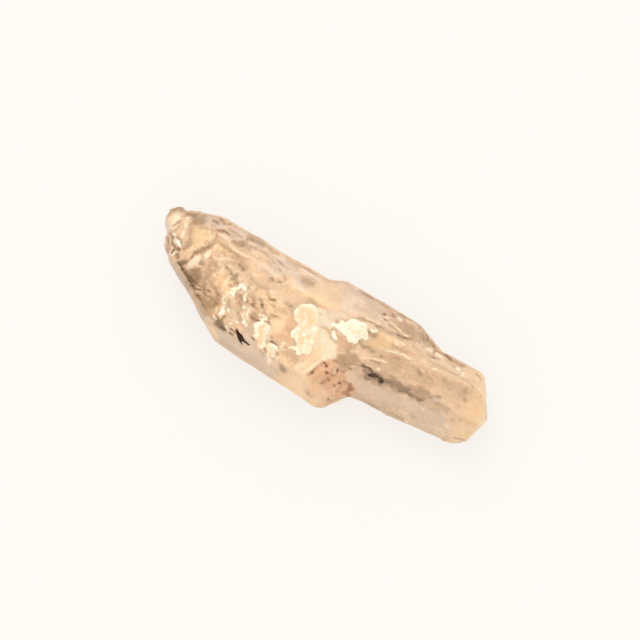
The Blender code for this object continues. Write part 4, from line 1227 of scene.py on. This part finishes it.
def beryl_material():
    """The stone: painted, mottled and half clear."""
    colours = settings().colours
    material, tree, shader = new_material("beryl")
    mottle = grained(tree, 1.7, detail=5.0, roughness=0.65)
    colour = tuple(colours.peach)
    for name, paint, spread in (
        ("warm", colours.warm, 2.0), ("grey", colours.grey, 1.6), ("lilac", colours.lilac, 2.0),
        ("tan", colours.tan, 2.0), ("stain_and_gap_shade", colours.stain_and_gap_shade, 2.0), ("rust", colours.rust, 2.0),
    ):
        colour = mixed(tree, painted(tree, name, mottle, spread), colour, paint)
    # painted shade darkens the hollows of the relief to tan; crests are paler, partly worn and partly
    # painted highlight
    crest = stored(tree, "crest")
    colour = mixed(tree, scaled(tree, crest, -1.2, 0.4, clamp=True), colour, colours.tan)
    colour = mixed(tree, scaled(tree, crest, 1.4, -0.8, clamp=True), colour, colours.glow)
    # painted highlights and glints, with the pale colour of crumpled spots, go to pale peach and then cream
    light = painted(tree, "light", mottle, 2.0)
    colour = mixed(tree, light, colour, colours.glow)
    colour = mixed(tree, worked(tree, "POWER", light, 3.0), colour, colours.cream)
    # flaws and painted shade go from brown over olive to black as they get stronger
    shade = painted(tree, "shade", mottle, 1.5)
    ramp = add_node(tree, "ValToRGB", {"Fac": shade})
    points = ramp.color_ramp.elements
    points[0].position = 0.2
    points[0].color = (*colours.brown, 1.0)
    points[1].position = 1.0
    points[1].color = (*colours.black, 1.0)
    points.new(0.6).color = (*colours.olive, 1.0)
    colour = mixed(tree, worked(tree, "POWER", shade, 0.8), colour, ramp.outputs[0])
    # everything is a little uneven in tone
    cloudy = scaled(tree, grained(tree, 0.45, detail=4.0), 0.5, 0.76)
    grainy = scaled(tree, grained(tree, 4.0), 0.5, 0.755)
    uneven = worked(tree, "MULTIPLY", cloudy, grainy)
    tone = add_node(tree, "HueSaturation", {"Value": uneven, "Color": colour})
    absorption = add_node(tree, "VolumeAbsorption", {"Color": (0.96, 0.80, 0.60), "Density": 60.0})
    put(tree, absorption.outputs[0], tree.nodes["Material Output"].inputs["Volume"])
    feed(tree, shader, {
        "Base Color": tone.outputs[0],
        "Roughness": scaled(tree, grained(tree, 2.5, detail=4.0), 0.4, 0.2),
        "Normal": bumped(tree, grained(tree, 6.0, detail=4.0, roughness=0.65), 0.35, 0.03),
        "IOR": 1.58,
        "Specular IOR Level": 0.15,
        "Specular Tint": (1.0, 0.75, 0.5),
        "Transmission Weight": 0.5,
        "Subsurface Weight": 1.0,
        "Subsurface Radius": (1.0, 0.85, 0.7),
        "Subsurface Scale": 0.8 * MM,
    })
    return material


def crust_material():
    """Dusty cream crust, warmer where it is thin; painted shade where low, painted highlight on tops."""
    colours = settings().colours
    material, tree, shader = new_material("cream_crust")
    crest = stored(tree, "crest")
    dust = grained(tree, 5.0, detail=4.0, roughness=0.7)
    height = worked(tree, "MULTIPLY_ADD", worked(tree, "SUBTRACT", dust, 0.5), 0.4, crest, clamp=True)
    colour = mixed(tree, height, colours.crevice, colours.crust)
    pink = scaled(tree, grained(tree, 0.9, detail=4.0), 4.0, -1.9, clamp=True)
    thin = worked(tree, "SUBTRACT", 1.0, worked(tree, "MULTIPLY", crest, 0.8))
    colour = mixed(tree, worked(tree, "MULTIPLY", pink, thin), colour, colours.crevice)
    colour = mixed(tree, worked(tree, "MULTIPLY", stored(tree, "lilac"), 0.4), colour, colours.lilac)
    feed(tree, shader, {
        "Base Color": colour,
        "Roughness": scaled(tree, dust, 0.3, 0.45),
        "Normal": bumped(tree, dust, 0.5, 0.04),
        "Subsurface Weight": 0.6,
        "Subsurface Radius": (1.0, 0.7, 0.45),
        "Subsurface Scale": 0.4 * MM,
    })
    return material


def inclusion_material(name, deep, pale):
    """An opaque flake or speck, deep coloured with paler wisps along the axis."""
    material, tree, shader = new_material(name)
    grain = grained(tree, 3.0, detail=4.0, roughness=0.7, stretch=(3.0, 1.0, 1.0))
    feed(tree, shader, {
        "Base Color": mixed(tree, scaled(tree, grain, 2.0, -0.8, clamp=True), deep, pale),
        "Roughness": scaled(tree, grain, 0.4, 0.35),
        "Specular IOR Level": 0.05,
    })
    return material


def veil_material():
    """A pale healed fracture, half clear, with creamy wisps."""
    colours = settings().colours
    material, tree, shader = new_material("inner_veil")
    wisp = grained(tree, 1.2, detail=5.0, roughness=0.7)
    wisps = scaled(tree, wisp, 2.0, -0.5, clamp=True)
    feed(tree, shader, {
        "Base Color": mixed(tree, wisps, colours.lilac, colours.cream),
        "Roughness": scaled(tree, wisp, 0.5, 0.2),
        "IOR": 1.2,
        "Transmission Weight": 0.6,
    })
    return material


# ---------------------------------------------------------------- pieces


def show(layers, name, values):
    """Makes a layer at least this strong."""
    layers[name] = np.maximum(layers[name], values)


def mottle_aside(layers, places, aside):
    """Mottles the flanks and the underside, where no marks are drawn, and returns how crumbled
    they are: the ends more than the middle."""
    blotch = noise_field(places, 3.0, 3, stretch=(1.5, 1.0, 1.0))
    cloud = noise_field(places, 4.0, 3, stretch=(1.8, 1.0, 1.0), shift=20.0)
    show(layers, "tan", aside * 0.7 * smoothstep(0.1, 0.5, blotch))
    show(layers, "grey", aside * (0.35 + 0.6 * smoothstep(-0.2, 0.3, cloud)))
    show(layers, "lilac", aside * 0.8 * smoothstep(0.25, 0.5, cloud - blotch))
    show(layers, "warm", aside * 0.9 * smoothstep(0.15, 0.6, -cloud))
    ends = smoothstep(13.0, 19.0, np.abs(places[:, 0]))
    return aside * smoothstep(0.2, 0.6, blotch - cloud * 0.3) * (0.4 + 0.6 * ends)


def crumble_up(layers, places, crumble):
    """Gives crumbled places pale grains and bright curls, partly a painted highlight where they stand
    out, brown gaps of partly painted shade, and returns how far these stand out, from about -1 to 1."""
    grainy = noise_field(drift(places, 0.8, 0.35), 0.75, 2, stretch=(1.4, 1.0, 1.0), shift=3.0)
    curls = noise_field(drift(places, 0.5, 0.25), 0.9, stretch=(1.3, 1.0, 1.0), shift=9.0)
    curled = 1.0 - 5.0 * np.abs(curls)
    patches = noise_field(places, 1.5, 2, shift=12.0)
    pale = crumble * smoothstep(0.1, 0.4, grainy)
    bright = crumble * smoothstep(0.4, 0.8, curled) * smoothstep(0.1, 0.35, patches)
    gaps = crumble * smoothstep(0.0, 0.35, -grainy)
    dark = gaps * smoothstep(0.2, 0.45, -grainy) * smoothstep(-0.1, 0.2, -patches)
    # the raised grains and curls are partly painted highlight; the sunk gaps get stain, tan and shade as
    # painted shade
    show(layers, "light", np.maximum(0.55 * pale, 0.9 * bright))
    show(layers, "stain_and_gap_shade", 0.4 * gaps)
    show(layers, "tan", 0.45 * gaps)
    show(layers, "shade", 0.12 * dark)
    return grainy + 0.6 * np.maximum(curled, 0.0)


class MORGANITE_OT_skin(bpy.types.Operator):
    """Build the crystal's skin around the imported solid"""

    bl_idname = "morganite.skin"
    bl_label = "Crystal skin"

    def execute(self, context):
        sizes = settings().skin
        skin = copy_of_node("crystal_skin")
        apply_modifier(skin, "REMESH", mode="VOXEL", voxel_size=sizes.grain)
        apply_modifier(skin, "SMOOTH", iterations=sizes.rounding)
        places, normals = read_points(skin.data)

        # the marks show on what faces up, and the rest is mottled
        facing = smoothstep(-0.1, 0.15, normals[:, 2])
        aside = 1.0 - facing
        plan = as_drawn(drift(drift(places, 0.8, 0.1), 0.25, 0.045)[:, :2])
        fray = noise_field(places, 0.6, 2, shift=7.0)
        layers = {
            name: coverage(plan, marks, softness, fray) * facing
            for name, (marks, softness) in PAINTS.items()
        }
        halo = coverage(plan, SHADE, HALO_SOFTNESS, fray) * facing
        show(layers, "shade", HALO_STRENGTH * halo)
        crumble = np.maximum(coverage(plan, CRUMBLE) * facing, mottle_aside(layers, places, aside))
        crumbs = crumble_up(layers, places, crumble)
        # painted highlight along the raised streaks and painted shade in the furrows between them
        drawn_out = noise_field(places, 0.3, 3, stretch=(6.0, 1.0, 1.0), shift=5.0)
        streaked = np.maximum(0.35 * (coverage(plan, STREAKS) * facing), aside * 0.6)
        show(layers, "light", streaked * 0.5 * smoothstep(0.35, 0.7, drawn_out))
        show(layers, "shade", streaked * 0.25 * smoothstep(0.25, 0.7, -drawn_out))

        # the relief: marks, furrows along the axis, crumbs and broken facets
        relief = sum(RELIEF[name] * layers[name] for name in RELIEF)
        relief += drawn_out * sizes.furrow_depth / MM * (0.15 + streaked)
        relief += crumble * crumbs * sizes.crumb_height / MM
        _, facets = cells(places, size=1.3, shift=4.0)
        tip = smoothstep(-15.0, -19.0, places[:, 0])
        broken = np.maximum(0.3 * tip, crumble) * (0.15 + 0.85 * aside)
        relief += np.clip(facets, -1.0, 1.0) * broken * sizes.chip_depth / MM
        # the resting face stays flat
        relief *= smoothstep(0.0, 0.4, places[:, 2])
        placed = places + normals * relief[:, None]
        for middle, shift, reach in ROUNDED:
            share = smoothstep(reach, 0.0, np.hypot(*(places[:, :2] - middle).T))
            placed[:, :2] += share[:, None] * shift
        placed[:, 2] = np.maximum(placed[:, 2], 0.0)
        write_points(skin.data, placed)

        # painted shade and highlight: how far each place stands out of the skin round it darkens hollows
        # and lightens crests
        shaped, facing_out = read_points(skin.data)
        standing = crests(skin.data, shaped, facing_out, CREST_REACH) / CREST_HEIGHT
        layers["crest"] = 0.5 + np.clip(standing, -0.5, 0.5) * (0.3 + 0.7 * crumble)
        for name, layer in layers.items():
            write_value(skin.data, name, layer)
        finish(skin, "beryl", beryl_material())
        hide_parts(NODE)
        return {"FINISHED"}


def lump_piece(crust, seeds, sizes, tree):
    """A piece made of a crust's lumps, each one a flattened ball that is sunk in the skin."""
    bpy.ops.object.select_all(action="DESELECT")
    bpy.ops.mesh.primitive_ico_sphere_add(subdivisions=2, radius=1.0)
    piece = context_piece(crust.name)
    ball = read_points(piece.data)[0] * MM
    faces = np.array([face.vertices[:] for face in piece.data.polygons])
    points = []
    for *drawn, radius in lump_centres(crust, seeds):
        place, normal = surface_at(tree, *as_built(drawn))
        buried = sizes.sinking + SUNK_DEEPER * coverage(np.array([drawn]), crust.sunk)[0]
        centre = (place - normal * radius * buried) * MM
        tilt = normal.to_track_quat("Z", "Y").to_matrix()
        squash = np.array([1.0, seeds.uniform(*LUMP_WIDTHS), sizes.flatness]) * radius * MM
        points.append((ball * squash) @ np.array(tilt).T + np.array(centre))
    joined = np.concatenate([faces + index * len(ball) for index in range(len(points))])
    piece.data.clear_geometry()
    piece.data.from_pydata(np.concatenate(points).tolist(), [], joined.tolist())
    return piece


class MORGANITE_OT_crusts(bpy.types.Operator):
    """Grow the cream crusts on the skin out of many small lumps"""

    bl_idname = "morganite.crusts"
    bl_label = "Cream crusts"

    def execute(self, context):
        sizes = settings().crusts
        tree = skin_tree()
        material = crust_material()
        seeds = random.Random(SEED)
        for crust in CRUSTS:
            piece = lump_piece(crust, seeds, sizes, tree)
            apply_modifier(piece, "REMESH", mode="VOXEL", voxel_size=sizes.grain)
            apply_modifier(piece, "SMOOTH", iterations=sizes.rounding)
            places, normals = read_points(piece.data)
            plan = as_drawn(places[:, :2])
            crumbs = noise_field(places, 0.5, 3)
            rims, _ = cells(drift(drift(places, 0.9, 0.35), 0.3, 0.12), size=0.8)
            flattened = 1.0 - 0.8 * coverage(plan, crust.sunk)
            bumps = (crumbs + 0.5 * smoothstep(0.0, 0.3, rims) - 0.3) * flattened
            write_points(piece.data, places + normals * (bumps * sizes.crumbs / MM)[:, None])

            # painted highlight where a lump stands out and at its rim, painted shade where it lies low,
            # warm where thin
            under = np.array([surface_at(tree, x, y)[0].z for x, y in places[:, :2]])
            depth = np.full(len(places), -1.0)
            for corners in crust.outlines:
                depth = np.maximum(depth, depth_inside(plan, corners))
            rim = smoothstep(0.75, 0.1, depth + 0.3 * crumbs)
            rise = np.minimum(places[:, 2] - under - 0.15, 0.1)
            crest = crust.paleness + 0.25 * rim + 0.7 * bumps + 0.5 * rise
            crest -= 0.6 * coverage(plan, crust.thin)
            write_value(piece.data, "crest", np.clip(crest, 0.0, 1.0))
            write_value(piece.data, "lilac", coverage(plan, LILAC))
            finish(piece, "cream_crust", material)
        return {"FINISHED"}


class MORGANITE_OT_inclusions(bpy.types.Operator):
    """Set the black splinter and the red specks in the skin and the dark flakes under it"""

    bl_idname = "morganite.inclusions"
    bl_label = "Dark inclusions"

    def execute(self, context):
        colours = settings().colours
        black = inclusion_material("dark_inclusion", colours.smoke, colours.olive)
        internal_shadow = inclusion_material("internal_shadow_flakes", colours.black, colours.brown)
        red = inclusion_material("rust_specks", colours.maroon, colours.brown)
        splinter = film("black_splinter", SPLINTER, grain=0.04, height=0.06)
        finish(splinter, "dark_inclusion", black)
        # painted shade: dark flakes under the skin where the stone shows internal shadow
        flakes = film("dark_flakes", FLAKES, grain=0.08, height=0.1, depth=0.5)
        finish(flakes, "dark_inclusion", internal_shadow)
        specks = film("rust_specks", SPECKS, grain=0.05, height=0.04)
        finish(specks, "dark_inclusion", red)
        return {"FINISHED"}


class MORGANITE_OT_veils(bpy.types.Operator):
    """Lay the healed fractures under the skin"""

    bl_idname = "morganite.veils"
    bl_label = "Inner veils"

    def execute(self, context):
        veils = film("healed_fractures", VEILS, grain=0.08, height=0.1, depth=0.4)
        finish(veils, "inner_veil", veil_material())
        return {"FINISHED"}


class MORGANITE_OT_stage(bpy.types.Operator):
    """Lay the floor and set up the lights and the camera"""

    bl_idname = "morganite.stage"
    bl_label = "Stage"

    def execute(self, context):
        stage = settings().stage
        scene = context.scene
        bpy.ops.mesh.primitive_plane_add(size=FLOOR_SIZE, location=(0.0, 0.0, 0.0))
        floor = context.object
        floor.name = "floor"
        material, tree, shader = new_material("floor_paint")
        feed(tree, shader, {
            "Base Color": stage.floor_colour, "Roughness": 0.9, "Specular IOR Level": 0.1,
            "Emission Color": stage.floor_glow, "Emission Strength": stage.floor_light,
        })
        floor.data.materials.append(material)

        world = bpy.data.worlds.new("white_room")
        world.use_nodes = True
        tree = world.node_tree
        background = tree.nodes["Background"]
        feed(tree, background, {"Color": stage.room_light, "Strength": stage.ambient})
        # the camera sees the room in the colour of the lit floor, so that no horizon shows
        plain = add_node(tree, "Background", {"Color": stage.backdrop, "Strength": 1.0})
        is_seen = add_node(tree, "LightPath").outputs["Is Camera Ray"]
        either = add_node(tree, "MixShader", {"Fac": is_seen})
        put(tree, background.outputs[0], either.inputs[1])
        put(tree, plain.outputs[0], either.inputs[2])
        put(tree, either.outputs[0], tree.nodes["World Output"].inputs["Surface"])
        scene.world = world

        bpy.ops.object.light_add(type="AREA", location=KEY_PLACE)
        key = context.object
        key.name = "key_light"
        key.data.energy = stage.key_power
        key.data.size = KEY_SIZE
        key.rotation_euler = (LOOKED_AT - key.location).to_track_quat("-Z", "Y").to_euler()

        bpy.ops.object.camera_add(location=LOOKED_AT + Vector((0.0, 0.0, stage.camera_height)))
        camera = context.object
        camera.name = "camera"
        camera.rotation_euler = (0.0, 0.0, stage.camera_turn)
        camera.data.sensor_fit = "HORIZONTAL"
        camera.data.angle = 2 * math.atan(stage.frame_width / 2 / stage.camera_height)
        camera.data.clip_start = 0.01
        scene.camera = camera
        scene.view_settings.view_transform = "Standard"
        return {"FINISHED"}


class MORGANITE_PT_panel(bpy.types.Panel):
    """Builds the crystal piece by piece"""

    bl_label = "Rough Morganite Crystal"
    bl_space_type = "VIEW_3D"
    bl_region_type = "UI"
    bl_category = "Morganite"

    def draw(self, context):
        for operator in OPERATORS:
            self.layout.operator(operator.bl_idname)


GROUPS = (
    MORGANITE_PG_skin, MORGANITE_PG_crusts, MORGANITE_PG_colours, MORGANITE_PG_stage, MORGANITE_PG_crystal,
)
OPERATORS = (
    MORGANITE_OT_skin, MORGANITE_OT_crusts, MORGANITE_OT_inclusions, MORGANITE_OT_veils, MORGANITE_OT_stage,
)
CLASSES = (*GROUPS, *OPERATORS, MORGANITE_PT_panel)


def register():
    for kind in CLASSES:
        bpy.utils.register_class(kind)
    bpy.types.Scene.morganite = PointerProperty(type=MORGANITE_PG_crystal)


def unregister():
    del bpy.types.Scene.morganite
    for kind in reversed(CLASSES):
        bpy.utils.unregister_class(kind)


def main():
    register()
    bpy.ops.morganite.skin()
    bpy.ops.morganite.crusts()
    bpy.ops.morganite.inclusions()
    bpy.ops.morganite.veils()
    bpy.ops.morganite.stage()


if __name__ == "__main__":
    main()
